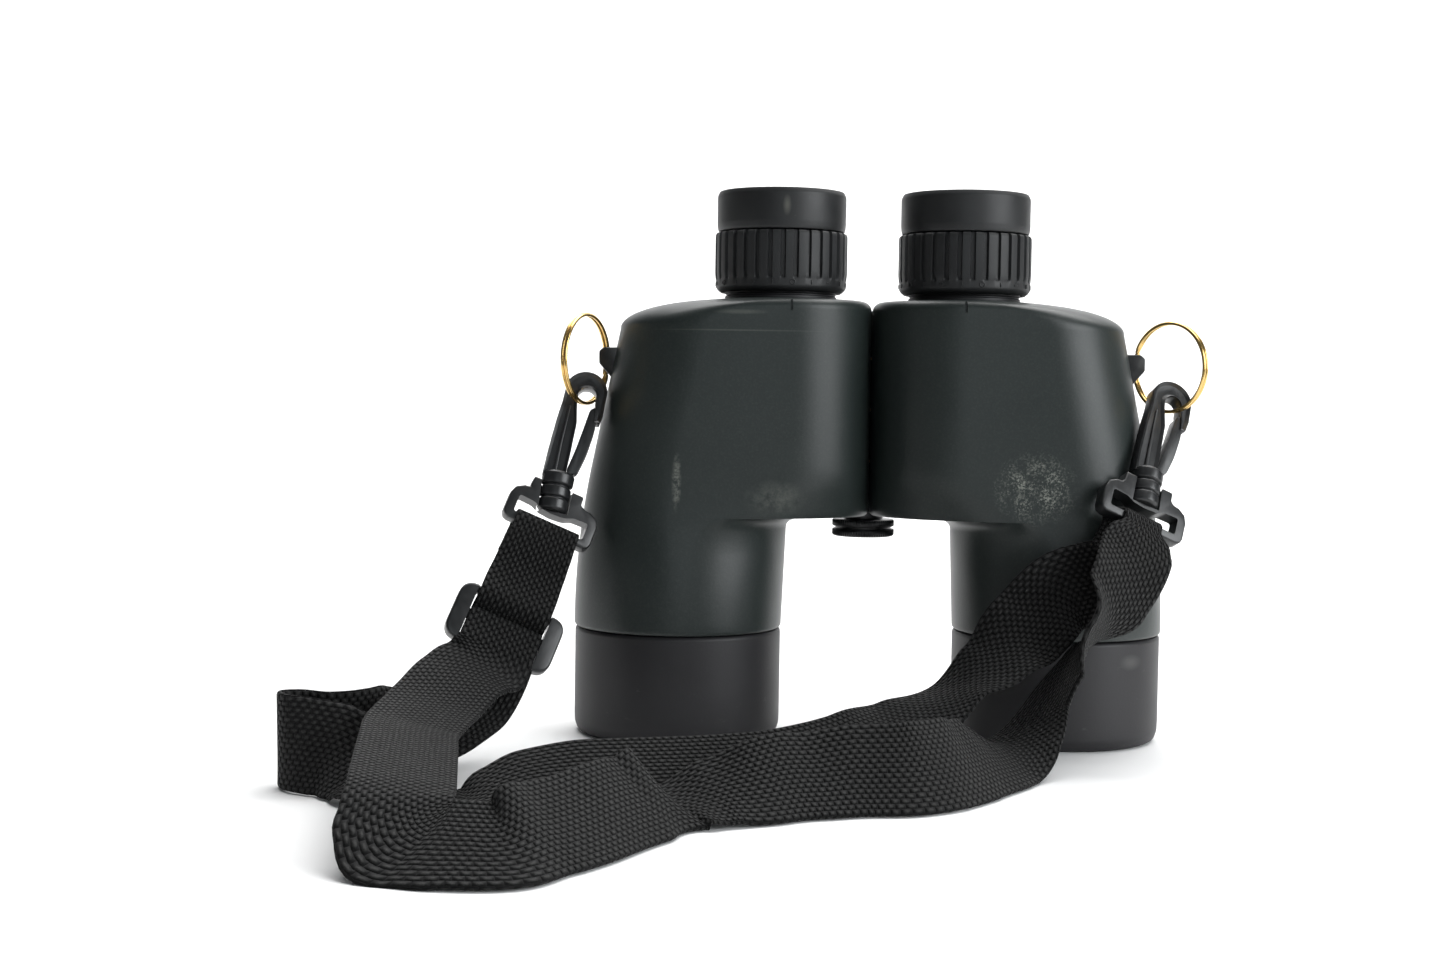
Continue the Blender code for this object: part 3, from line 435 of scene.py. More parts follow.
def housing_paint():
    """Satin green-black coating with a fine grain, dusty scuffs and a few hairline scratches."""
    paint = Paint("housing_coat", (0.020, 0.029, 0.027), 0.42, Specular_IOR_Level=0.45)
    broad = paint.noise(28.0, 4.0)
    fine = paint.noise(900.0, 3.0)
    base = paint.mix(broad, (0.0085, 0.0130, 0.0125), (0.0160, 0.0225, 0.0210))
    dust_grain = paint.ramp(paint.noise(1500.0, 4.0, 0.7), 0.47, 0.68)
    cloud = paint.ramp(paint.noise(230.0, 5.0, 0.7), 0.38, 0.62)
    right_scuff = paint.spot((0.0475, -0.030, 0.0785), (0.0135, 0.02, 0.0115), 0.75)
    left_scuff = paint.spot((-0.0594, -0.030, 0.079), (0.0016, 0.02, 0.0095), 0.6)
    crown_scuff = paint.spot((-0.041, -0.030, 0.130), (0.0090, 0.02, 0.0009), 0.7)
    band_line = paint.spot((-0.042, -0.030, 0.1245), (0.030, 0.02, 0.00035), 0.9)
    arch_scuff = paint.spot((-0.030, -0.030, 0.0745), (0.010, 0.02, 0.006), 0.8)
    streak = paint.ramp(paint.noise(600.0, 3.0, 0.7), 0.40, 0.62)
    wear = paint.total(paint.times(right_scuff, cloud, dust_grain, 1.6),
                       paint.times(left_scuff, streak, 0.5), paint.times(crown_scuff, 0.16),
                       paint.times(band_line, 0.16), paint.times(arch_scuff, cloud, 0.25),
                       paint.times(dust_grain, 0.03))
    paint.feed("Base Color", paint.mix(wear, base, (0.26, 0.27, 0.235)))
    rough = paint.math("ADD", paint.math("MULTIPLY", broad, 0.16), 0.33)
    paint.feed("Roughness", paint.math("ADD", rough, paint.math("MULTIPLY", wear, 0.4), clamp=True))
    paint.relief(fine, 0.00006, 0.5)
    return paint.material


def hood_paint():
    """Neutral dark rubber with a soft bloom and rubbed marks near the rim."""
    paint = Paint("hood_rubber", (0.026, 0.025, 0.028), 0.50, Specular_IOR_Level=0.40)
    broad = paint.noise(40.0, 4.0)
    base = paint.mix(broad, (0.011, 0.0105, 0.012), (0.019, 0.018, 0.020))
    rubbed = paint.ramp(paint.noise(160.0, 5.0, 0.7, stretch=(1.0, 1.0, 2.2)), 0.63, 0.80)
    pale_mark = paint.spot((0.0776, -0.026, 0.0268), (0.004, 0.012, 0.0026), 0.8)
    wear = paint.total(paint.times(rubbed, 0.18), paint.times(pale_mark, 0.25))
    paint.feed("Base Color", paint.mix(wear, base, (0.16, 0.16, 0.15)))
    paint.feed("Roughness", paint.math("ADD", paint.math("MULTIPLY", broad, 0.18), 0.42))
    paint.relief(paint.noise(1400.0, 2.0), 0.00005, 0.5)
    return paint.material


def eyepiece_paint():
    """Black rubber of the focus rings and eyecups, a little greyer where it is handled."""
    paint = Paint("eyepiece_rubber", (0.022, 0.023, 0.025), 0.48, Specular_IOR_Level=0.42)
    broad = paint.noise(90.0, 4.0)
    base = paint.mix(broad, (0.008, 0.0085, 0.009), (0.020, 0.021, 0.022))
    smudge = paint.ramp(paint.noise(260.0, 5.0, 0.72), 0.66, 0.82)
    mark = paint.spot((-0.0275, -0.0195, 0.1625), (0.0014, 0.006, 0.0034), 0.8)
    wear = paint.total(paint.times(smudge, 0.22), paint.times(mark, 0.35))
    paint.feed("Base Color", paint.mix(wear, base, (0.20, 0.20, 0.17)))
    paint.feed("Roughness", paint.math("ADD", paint.math("MULTIPLY", broad, 0.2), 0.38))
    paint.relief(paint.noise(1800.0, 2.0), 0.00004, 0.5)
    return paint.material


def fitting_paint():
    """Moulded black acetal with the faint mottle of flow marks."""
    paint = Paint("fitting_plastic", (0.016, 0.017, 0.018), 0.32, Specular_IOR_Level=0.55)
    mottle = paint.noise(420.0, 5.0, 0.65)
    paint.feed("Base Color", paint.mix(mottle, (0.006, 0.0065, 0.007), (0.018, 0.019, 0.020)))
    paint.feed("Roughness", paint.math("ADD", paint.math("MULTIPLY", mottle, 0.22), 0.22))
    paint.relief(mottle, 0.0001, 0.35)
    return paint.material


def metal_paint(name, dark, light, roughness, grain=(500.0, 3.0, 0.55, 0.15), drawn=6.0, metallic=1.0):
    """Turned or drawn metal. The grain is its noise's scale, detail and roughness, and how far it
    spreads the gloss; it is finer along Z by the number given."""
    scale, detail, rough, spread = grain
    paint = Paint(name, light, roughness, metallic)
    lathe = paint.noise(scale, detail, rough, stretch=(1.0, 1.0, drawn))
    paint.feed("Base Color", paint.mix(lathe, dark, light))
    paint.feed("Roughness", paint.math("ADD", paint.math("MULTIPLY", lathe, spread), roughness))
    return paint.material


def seal_paint():
    paint = Paint("seal_rubber", (0.012, 0.012, 0.012), 0.6)
    grain = paint.noise(800.0, 3.0)
    paint.feed("Base Color", paint.mix(grain, (0.008, 0.008, 0.008), (0.02, 0.02, 0.02)))
    return paint.material


def glass_paint():
    """Coated optical glass: clear, with a cool film that thickens towards grazing angles."""
    paint = Paint("optical_glass", (0.80, 0.90, 0.92), 0.02, Transmission_Weight=0.95, IOR=1.52,
                  Coat_Weight=0.6, Coat_Roughness=0.02)
    facing = paint.node("ShaderNodeLayerWeight", {"Blend": 0.35}).outputs["Facing"]
    paint.feed("Base Color", paint.mix(facing, (0.78, 0.90, 0.90), (0.50, 0.62, 0.80)))
    return paint.material


def webbing_paint():
    """Coarse black nylon weave. Ribs run along the webbing and their floats are staggered.
    The mesh's UV map holds millimetres along and across the webbing."""
    rib, float_length = 1.35, 2.3
    paint = Paint("webbing", (0.012, 0.012, 0.012), 0.75, Sheen_Weight=0.04, Sheen_Roughness=0.5,
                  Specular_IOR_Level=0.18)
    flat = paint.node("ShaderNodeUVMap", uv_map="weave").outputs[0]
    split = paint.node("ShaderNodeSeparateXYZ", {0: flat})
    along, across = split.outputs[0], split.outputs[1]
    wobble = paint.math("MULTIPLY", paint.math("SUBTRACT", paint.noise(300.0, 2.0), 0.5), 0.55)
    column = paint.math("DIVIDE", paint.math("ADD", across, wobble), rib)
    number = paint.math("FLOOR", column, 0.0)
    stagger = paint.math("MULTIPLY", paint.math("MODULO", number, 2.0), 0.5)
    row = paint.math("ADD", paint.math("DIVIDE", along, float_length), stagger)
    wide = paint.math("SINE", paint.math("MULTIPLY", paint.math("FRACT", column, 0.0), math.pi), 0.0)
    long = paint.math("SINE", paint.math("MULTIPLY", paint.math("FRACT", row, 0.0), math.pi), 0.0)
    height = paint.math("MULTIPLY", paint.math("POWER", wide, 0.8), paint.math("POWER", long, 1.0))
    fibre = paint.noise(2600.0, 2.0)
    raised = paint.math("MULTIPLY", height, paint.math("ADD", paint.math("MULTIPLY", fibre, 1.0), 0.45))
    # Painted highlight and painted shade: the float tops are painted light grey for the light they catch,
    # and the gaps between floats near black for the shade in the weave
    shade = paint.mix(paint.ramp(raised, 0.42, 0.95), (0.0008, 0.0008, 0.0009), (0.036, 0.036, 0.035))
    worn = paint.ramp(paint.noise(60.0, 4.0), 0.35, 0.75)
    paint.feed("Base Color", paint.mix(paint.math("MULTIPLY", worn, 0.35), shade, (0.006, 0.006, 0.006)))
    paint.relief(height, 0.0009, 1.0)
    paint.relief(fibre, 0.0001, 0.5)
    return paint.material


# Camera -------------------------------------------------------------------------------------

def make_camera():
    """Level with the housings' shoulders and a little left, on a lens of 49 mm."""
    data = bpy.data.cameras.new("camera")
    data.sensor_width = 36.0
    data.lens = 48.58
    data.clip_start = 0.01
    camera = linked("camera", data)
    place = Vector((-0.0457, -0.608, 0.1067))
    pitch_down, roll = math.radians(2.69), math.radians(0.85)
    camera.matrix_world = (Matrix.Translation(place)
                           @ Matrix.Rotation(math.pi / 2 - pitch_down, 4, "X")
                           @ Matrix.Rotation(roll, 4, "Z"))
    bpy.context.scene.camera = camera


# Strap --------------------------------------------------------------------------------------

def ring_centre(name, side):
    """Middle of a split ring, which hangs in its lug."""
    heading = math.radians(RING_HEADING[name])
    return Vector((side * (LUG_HOLE_X + RING_MEAN_R * math.cos(heading)),
                   -RING_MEAN_R * math.sin(heading), RING_Z))


def ring_axes(name, side):
    """Axes of a split ring, with Z along the line that it turns about."""
    heading = math.radians(RING_HEADING[name])
    return axes_from((side * math.cos(heading), -math.sin(heading), 0.0),
                     (side * math.sin(heading), math.cos(heading), 0.0))


def hook_place(name, side):
    """Foot of a snap hook, whose eye hangs in the split ring, and the hook's axes."""
    axes = axes_from(HOOK_SIDE[name], HOOK_AXIS[name])
    eye = axes @ Vector((HOOK_EYE[0], 0.0, HOOK_EYE[1]))
    return ring_centre(name, side) - Vector((0.0, 0.0, RING_MEAN_R)) - eye, axes


def beside(at, axes, points):
    """Stations of webbing that crosses a fitting: (off its plane, along its axis, share of the
    full width), in millimetres."""
    stations = []
    for off, along, share in points:
        point = Vector(at) + axes @ Vector((0.0, off, along))
        stations.append((point * MM, axes.col[0], share))
    return stations


def frame_place(name, side):
    return hook_place(name, side)[0], axes_from(FRAME_SIDE[name], FRAME_AXIS[name])


def frame_wrap(name, side, front_share, back_share):
    """Round the frame's lower bar, from the front to the back."""
    off = FRAME_DEPTH / 2 + 0.85
    top = FRAME_LOW + FRAME_RAIL + 0.9
    bend = [(off + 0.1, top - 3.6), (off, top - 1.6), (off - 0.95, top - 0.4)]
    over = [(-out, along, front_share) for out, along in bend]
    over.append((0.0, top, (front_share + back_share) / 2))
    over += [(out, along, back_share) for out, along in bend[::-1]]
    return beside(*frame_place(name, side), over)


class Route:
    """A smooth curve through stations of (middle, direction across, share of the full width)."""

    def __init__(self, stations):
        self.points = [Vector(station[0]) for station in stations]
        self.across = [Vector(station[1]).normalized() for station in stations]
        self.shares = [station[2] for station in stations]
        self.spans = [max((b - a).length, 1e-5) for a, b in zip(self.points, self.points[1:])]
        self.slopes = [self.slope(index) for index in range(len(self.points))]

    def slope(self, index):
        """Slope at a station, weighted by the spans on both sides."""
        points, last = self.points, len(self.points) - 1
        if index == 0:
            return (points[1] - points[0]) / self.spans[0]
        if index == last:
            return (points[last] - points[last - 1]) / self.spans[-1]
        before, after = self.spans[index - 1], self.spans[index]
        coming = (points[index] - points[index - 1]) / before
        going = (points[index + 1] - points[index]) / after
        return (coming * after + going * before) / (before + after)

    def at(self, index, share):
        span = self.spans[index]
        start, end = self.points[index], self.points[index + 1]
        s2, s3 = share * share, share ** 3
        middle = (start * (2 * s3 - 3 * s2 + 1) + self.slopes[index] * span * (s3 - 2 * s2 + share)
                  + end * (3 * s2 - 2 * s3) + self.slopes[index + 1] * span * (s3 - s2))
        ease = s2 * (3 - 2 * share)
        wide = self.shares[index] + (self.shares[index + 1] - self.shares[index]) * ease
        return middle, self.across[index].lerp(self.across[index + 1], ease), wide

    def samples(self, step):
        """Points along the whole route."""
        found = []
        for index, span in enumerate(self.spans):
            count = max(int(round(span / step)), 1)
            found += [self.at(index, part / count) for part in range(count)]
        found.append(self.at(len(self.spans) - 1, 1.0))
        return found


def web_section():
    """Outline of the webbing: shares of the half width, and heights, with round edges."""
    half, thick = WEB_WIDTH / 2, WEB_THICK / 2
    flat_count = 11
    reach = half - thick
    edge = arc((reach, 0.0), thick, -60, 60, 3)
    top = [(reach - 2 * reach * i / flat_count, thick) for i in range(flat_count + 1)]
    outline = [(x / half, y) for x, y in edge + top]
    return outline + [(-x, -y) for x, y in outline]


def web_rings(samples):
    """Corner points of every cross-section, its middle and its distance along the webbing."""
    half, thick = WEB_WIDTH / 2, WEB_THICK / 2
    rings, middles, lengths = [], [], []
    outline = web_section()
    for index, (middle, across, wide) in enumerate(samples):
        ahead = samples[min(index + 1, len(samples) - 1)][0]
        behind = samples[max(index - 1, 0)][0]
        along = (ahead - behind).normalized()
        across = (across - along * across.dot(along)).normalized()
        proud = along.cross(across)
        outer, inner = (half * (2 * wide - 1), half) if wide > 1 else (half * wide, half * wide)
        lowest = abs(across.z) * half + abs(proud.z) * thick + FLOOR_GAP
        middle = Vector((middle.x, middle.y, max(middle.z, lowest)))
        ring = [middle + across * (x * (inner if x > 0 else outer)) + proud * y for x, y in outline]
        for point in ring:
            point.z = max(point.z, FLOOR_GAP)
        lengths.append(lengths[-1] + (middle - middles[-1]).length if middles else 0.0)
        middles.append(middle)
        rings.append(ring)
    return rings, middles, lengths


def webbing(name, rings, middles, lengths, paint):
    """One piece of webbing. Returns it with its centreline and its length."""
    bm = bmesh.new()
    layer = bm.loops.layers.uv.new("weave")
    outline = web_section()
    size = len(outline)
    grid = [[bm.verts.new(point) for point in ring] for ring in rings]
    for step in range(len(grid) - 1):
        for index in range(size):
            after = (index + 1) % size
            corners = ((step, index), (step, after), (step + 1, after), (step + 1, index))
            face = bm.faces.new([grid[ring][place] for ring, place in corners])
            for loop, (ring, place) in zip(face.loops, corners):
                loop[layer].uv = (lengths[ring] / MM, outline[place][0] * WEB_WIDTH / 2 / MM)
    bm.faces.new(grid[0])
    bm.faces.new(grid[-1])
    piece = add_piece(name, bm, None, paint, scale=1.0, sharp=None)
    path = [tuple(point) for point in middles[::3]] + [tuple(middles[-1])]
    return piece, path, lengths[-1] - lengths[0]


def make_strap(paint):
    """One strap: from the left frame behind the slider, round the loop to the right frame, back
    along the floor and up to the slider's middle bar. Returns it, its path and its length."""
    slider_axes = axes_from(SLIDER_SIDE, SLIDER_AXIS)
    left = frame_place("left", -1)
    tucked = beside(*left, [(1.6, -15.5, 0.86), (2.2, -11.5, 0.84)])
    upper = beside(*left, [(-2.6, -13.0, 0.84), (-1.6, -18.0, 0.87)])
    behind_slider = beside(SLIDER_AT, slider_axes, [
        (-2.2, 12.0, 0.90), (-3.1, 8.2, 0.90), (-2.7, 5.6, 0.90), (0.2, 3.7, 0.90), (2.5, 0.8, 0.90),
        (2.7, -6.0, 0.90)])
    over_bar = beside(SLIDER_AT, slider_axes, [
        (-3.2, -8.8, 0.93), (-3.0, -6.6, 0.91), (-2.1, -2.5, 0.90), (-1.6, 0.2, 0.90), (-0.9, 1.9, 0.90),
        (0.5, 2.2, 0.90)])
    returning = [(point, across, 1.0) for point, across in RETURN_RUN[::-1]]
    fronting = [(point, across, CORNER_SPREAD.get(index, 1.0))
                for index, (point, across) in enumerate(FRONT_RUN)][::-1]
    right = frame_place("right", 1)
    down_back = beside(*right, [(2.6, -13.0, 0.9)])
    down_front = beside(*right, [(-3.4, -10.5, 0.82), (-3.2, -14.5, 0.95)])
    stations = (tucked + frame_wrap("left", -1, 0.80, 0.82)[::-1] + upper + behind_slider + returning
                + down_back + frame_wrap("right", 1, 0.5, 0.8)[::-1] + down_front + fronting + over_bar)
    rings, middles, lengths = web_rings(Route(stations).samples(WEB_STEP))
    strap, path, length = webbing("strap_webbing", rings, middles, lengths, paint)
    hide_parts("strap_return_run", "strap_return_drop", "strap_front_rise", "strap_front_run")
    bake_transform(strap)
    return strap, path, length


# Housings -----------------------------------------------------------------------------------

def smoothstep(value):
    value = min(max(value, 0.0), 1.0)
    return value * value * (3.0 - 2.0 * value)


def outer_x(z):
    if z > CROWN_Z:
        rise = min((z - CROWN_Z) / (TOP_Z - CROWN_Z), 1.0)
        return CROWN_X + CROWN_REACH * math.sqrt(max(1.0 - rise * rise, 0.0))
    lean_start, lean_end, curve, slope = 35.0, 82.6, 0.0021, 0.2
    bent = min(max(z - lean_start, 0.0), lean_end - lean_start)
    return 91.3 - curve * bent * bent - slope * max(z - lean_end, 0.0)


def half_depth(z):
    return BARREL_R - (BARREL_R - PRISM_R) * smoothstep((z - 40.0) / 40.0)


def housing_section(z, reach, inset=0.0):
    edge = max(z - (TOP_Z - TOP_EDGE_R), 0.0)
    rounding = TOP_EDGE_R - math.sqrt(max(TOP_EDGE_R ** 2 - edge ** 2, 0.0))
    depth = half_depth(z) - rounding - inset
    barrel_inner = 26.9 - 0.04 * (min(z, ARCH_Z) - HOOD_TOP)
    outer = outer_x(z)
    barrel_centre = (outer + barrel_inner) / 2
    barrel_half = (outer - barrel_inner) / 2
    full_half = min(PRISM_R, outer - PRISM_R - SEAM_X)
    outer_half = barrel_half + (full_half - barrel_half) * smoothstep((z - 42.0) / 40.0)
    inner_centre = barrel_centre + (PRISM_R + SEAM_X - barrel_centre) * smoothstep((z - 60.0) / 22.0)
    inner_end = barrel_inner + (SEAM_X + rounding - barrel_inner) * reach
    return (inner_centre, inner_centre - inner_end - inset, outer - outer_half, outer_half - inset, depth)


def section_ring(bm, section, z, side, count):
    inner_centre, inner_half, outer_centre, outer_half, depth = section
    ring = []
    for centre, half, turn in ((outer_centre, outer_half, 0.0), (inner_centre, inner_half, math.pi)):
        for index in range(count):
            angle = math.pi * ((index + 0.5) / count - 0.5) + turn
            point = (centre + half * math.cos(angle), depth * math.sin(angle))
            ring.append(bm.verts.new((side * point[0], point[1], z)))
    return ring


def housing_levels():
    """Heights of the skin's rings and how far each has grown towards the middle plane."""
    round_spigot = (OBJECTIVE_X, SPIGOT_R, OBJECTIVE_X, SPIGOT_R, SPIGOT_R)
    levels = [(10.0, round_spigot), (33.25, round_spigot), (33.3, housing_section(33.3, 0.0, 0.75)),
              (33.45, housing_section(33.45, 0.0, 0.35)), (33.9, housing_section(33.9, 0.0, 0.06)),
              (34.4, housing_section(34.4, 0.0))]
    levels += [(z, housing_section(z, 0.0)) for z in (37.0, 42.0, 47.0, 52.0, 57.0, 61.0, ARCH_Z)]
    flare = 14
    for step in range(1, flare + 1):
        share = step / flare
        reach = share ** 2.2 * 0.965
        lift = 1.0 - (1.0 - share) ** 2.6
        z = ARCH_Z + 4.1 * lift
        levels.append((z, housing_section(z, reach)))
    for z, reach in ((68.75, 0.982), (69.3, 0.993), (70.1, 0.999), (71.0, 1.0)):
        levels.append((z, housing_section(z, reach)))
    z = 73.0
    while z < CROWN_Z:
        levels.append((z, housing_section(z, 1.0)))
        z += 3.5
    for step in range(0, 21):
        z = CROWN_Z + (TOP_Z - CROWN_Z) * math.sin(math.pi / 2 * step / 20)
        levels.append((z, housing_section(z, 1.0)))
    return levels


def housing_skin(side):
    bm = bmesh.new()
    rings = [section_ring(bm, section, z, side, 40) for z, section in housing_levels()]
    bridge(bm, rings)
    bm.faces.new(rings[0])
    bm.faces.new(rings[-1])
    return bm


def knuckle_parts(side, low, high):
    barrel = turned([(0.0, low), (KNUCKLE_R, low), (KNUCKLE_R, high), (0.0, high)], 48, closed=False,
                    corner=0.8)
    placed(barrel, (0.0, HINGE_Y, 0.0))
    hinge = Vector((0.0, HINGE_Y))
    towards = (Vector((side * (PRISM_R + SEAM_X), 0.0)) - hinge).normalized()
    across = Vector((-towards.y, towards.x))
    arm = bmesh.new()
    corners = [hinge + towards * along + across * sideways
               for along, sideways in ((4.0, -5.6), (14.0, -5.6), (14.0, 5.6), (4.0, 5.6))]
    face = arm.faces.new([arm.verts.new((point.x, point.y, low + 0.01)) for point in corners])
    grown = bmesh.ops.extrude_face_region(arm, geom=[face])
    moved = [item for item in grown["geom"] if isinstance(item, bmesh.types.BMVert)]
    bmesh.ops.translate(arm, vec=(0.0, 0.0, high - low - 0.02), verts=moved)
    bmesh.ops.recalc_face_normals(arm, faces=arm.faces)
    return barrel, arm


def make_housing(name, side, paint):
    body = name + "_half"
    piece = add_piece(name + "_shell", housing_skin(side), body, paint,
                      (name + "_housing",), sharp=35.0)
    hollow = turned([(0.0, 9.0), (27.0, 9.0), (27.0, 31.9), (25.6, 31.95), (25.6, 66.0), (0.0, 66.0)], 64,
                    closed=False)
    cut_or_join(piece, placed(hollow, (side * OBJECTIVE_X, 0.0, 0.0)), "DIFFERENCE")
    socket = turned([(0.0, 128.0), (15.0, 128.0), (15.0, 136.0), (0.0, 136.0)], 64, closed=False)
    cut_or_join(piece, placed(socket, (side * OCULAR_X, 0.0, 0.0)), "DIFFERENCE")
    index_x = side * (OCULAR_X - 2.6)
    tick = block((index_x - 0.35, -30.0, 130.7), (index_x + 0.35, -26.6, 136.0))
    cut_or_join(piece, tick, "DIFFERENCE")
    for low, high in KNUCKLES[name]:
        for part in knuckle_parts(side, low, high)[::-1]:
            cut_or_join(piece, part, "UNION")
    if name == "left":
        bore = [(0.0, 60.0), (5.8, 60.0), (5.8, 77.3), (3.5, 77.3), (3.5, 140.0), (0.0, 140.0)]
    else:
        bore = [(0.0, 60.0), (3.5, 60.0), (3.5, 126.2), (5.3, 126.2), (5.3, 140.0), (0.0, 140.0)]
    cut_or_join(piece, placed(turned(bore, 40, closed=False), (0.0, HINGE_Y, 0.0)), "DIFFERENCE")


def make_hood(name, side, paint):
    profile = [(27.4, 1.2), (28.3, 0.0), (29.2, 0.0), (31.1, 1.0), (31.9, 3.4), (HOOD_R, 6.0),
               (HOOD_R, 32.2), (31.3, HOOD_TOP), (29.0, HOOD_TOP), (29.0, 9.7), (27.4, 9.7)]
    hood = placed(turned(profile, 128, corner=0.7), (side * OBJECTIVE_X, 0.0, 0.0))
    add_piece(name + "_hood", hood, name + "_half", paint, (name + "_objective_hood",))


# Eyepieces ----------------------------------------------------------------------------------

def rib_height(turn):
    """0 in a groove and 1 on a rib; turn runs from 0 to 1 over one rib and its groove."""
    groove, slope = 0.27, 0.07
    away = abs(turn - 0.5) * 2.0
    return 1.0 - smoothstep((away - (1.0 - groove - slope)) / slope) if away > 1.0 - groove - slope else 1.0


def focus_ring():
    """Flat band for the marks below, ribs with narrow round-ended grooves above."""
    levels = [(17.7, 0.0, 137.3), (18.0, 0.0, 136.9), (18.6, 0.0, 136.8), (19.6, 0.0, 137.6),
              (20.15, 0.0, 138.4), (20.2, 0.0, 138.8), (20.2, 0.0, 140.5), (20.25, 0.25, 140.8),
              (20.35, 0.8, 141.3), (20.45, 1.0, 142.2), (RING_R, 1.0, 143.0), (RING_R, 1.0, 153.6),
              (20.45, 1.0, 154.5), (20.2, 1.0, 155.0), (19.9, 0.8, 155.2), (18.6, 0.0, 155.25),
              (13.9, 0.0, 155.2), (13.9, 0.0, 152.2), (17.7, 0.0, 152.2)]
    per_rib, depth = 12, 0.85
    count = RIB_COUNT * per_rib
    bm = bmesh.new()
    rings = []
    for radius, grooved, z in levels:
        ring = []
        for index in range(count):
            groove = 1.0 - rib_height((index % per_rib + 0.5) / per_rib)
            here = radius - depth * grooved * groove
            angle = 2 * math.pi * (index + 0.5) / count
            ring.append(bm.verts.new((here * math.cos(angle), here * math.sin(angle), z)))
        rings.append(ring)
    bridge(bm, rings + rings[:1])
    return bm


def band_mark(kind):
    """A raised mark about the origin, facing -Y: a round nought, a plus, a minus or a tick."""
    if kind == "nought":
        sides = 8
        ring = [(0.72 + 0.2 * math.cos(2 * math.pi * i / sides), 0.2 * math.sin(2 * math.pi * i / sides))
                for i in range(sides)]
        bm = turned(ring, 28)
        bmesh.ops.rotate(bm, matrix=Matrix.Rotation(math.pi / 2, 3, "X"), verts=bm.verts)
        return bm
    sizes = {"tick": [(0.2, 0.65)], "minus": [(0.75, 0.2)], "plus": [(0.75, 0.2), (0.2, 0.75)]}
    return merged([soften(block((-x, -0.25, -z), (x, 0.25, z)), 0.1, 2) for x, z in sizes[kind]])


def band_marks():
    """Evenly spaced marks round the flat band of the focus ring."""
    spacing, first = 17.4, 8.5
    kinds = {0: "nought", 2: "minus", -2: "plus", 4: "nought", -4: "nought"}
    marks = []
    for step in range(-10, 10):
        turn = math.radians(first + spacing * step)
        mark = band_mark(kinds.get(step, "tick"))
        bmesh.ops.translate(mark, vec=(0.0, -20.2, 139.5), verts=mark.verts)
        bmesh.ops.rotate(mark, matrix=Matrix.Rotation(turn, 3, "Z"), verts=mark.verts)
        marks.append(mark)
    return merged(marks)


def make_eyepiece(name, side, paint):
    body = name + "_focus"
    at = (side * OCULAR_X, 0.0, 0.0)
    add_piece(name + "_ribbed_ring", placed(focus_ring(), at), body, paint,
              (name + "_focus_ring",), sharp=50.0)
    add_piece(name + "_ring_marks", placed(band_marks(), at), body, paint)
    cup = [(16.2, 155.6), (19.5, 155.6), (19.75, 156.4), (EYECUP_R, 158.0), (EYECUP_R, 166.6),
           (19.3, 167.9), (18.9, TOTAL_HEIGHT), (18.2, TOTAL_HEIGHT), (17.6, 167.4), (17.3, 164.0),
           (17.1, 158.6), (16.2, 158.2)]
    add_piece(name + "_cup", placed(turned(cup, 128, corner=0.5), at), body, paint,
              (name + "_eyecup",))


def make_neck(name, side, paint):
    """Guide tube fixed in the housing, which the focus ring turns on, with a grease groove."""
    inner, thread, outer, groove = 13.7, 14.7, 17.3, 16.9
    wall = [(inner, 126.0), (thread, 126.0), (thread, 134.8), (outer, 134.8), (outer, 135.7),
            (groove, 135.9), (groove, 136.3), (outer, 136.5), (outer, 150.0), (inner, 150.0)]
    add_piece(name + "_guide_tube", placed(turned(wall, 128, corner=0.15), (side * OCULAR_X, 0.0, 0.0)),
              name + "_half", paint, (name + "_ocular_guide",))


# Strap fittings -----------------------------------------------------------------------------

def make_lug(name, side, paint):
    wedge = [(76.5, 119.4), (83.0, 119.4), (84.4, 118.2), (84.4, 114.4), (80.2, 109.6), (76.5, 109.6)]
    lug = soften(extruded([(side * x, z) for x, z in wedge], 9.0), 0.45, 3)
    piece = add_piece(name + "_lug", lug, name + "_half", paint, (name + "_strap_lug",))
    tunnel = arc((RING_MEAN_R, 0.0), 1.8, 0, 337.5, 15)
    tunnel = placed(turned(tunnel, 48), ring_centre(name, side), ring_axes(name, side))
    cut_or_join(piece, tunnel, "DIFFERENCE")


def make_split_ring(name, side, paint):
    """Two turns of wire side by side, stepping from one to the other at the join."""
    turns, per_turn, sides, wire = 2, 72, 12, 0.56
    count = turns * per_turn
    rings = []
    bm = bmesh.new()
    for index in range(count + 1):
        turn = index / per_turn
        angle = 2 * math.pi * turn + math.radians(200)
        offset = 1.12 * (smoothstep((turn - 0.96) / 0.08) - 0.5)
        along = Vector((math.cos(angle), math.sin(angle), 0.0))
        taper = 0.75 if index in (0, count) else 1.0
        ring = []
        for corner in range(sides):
            around = 2 * math.pi * corner / sides
            reach = RING_MEAN_R + wire * taper * math.cos(around)
            height = offset + wire * taper * math.sin(around)
            ring.append(bm.verts.new((along.x * reach, along.y * reach, height)))
        rings.append(ring)
    bridge(bm, rings)
    bm.faces.new(rings[0])
    bm.faces.new(rings[-1])
    return add_piece(name + "_gold_ring", placed(bm, ring_centre(name, side), ring_axes(name, side)),
                     name + "_split_ring", paint, (name + "_split_ring",))


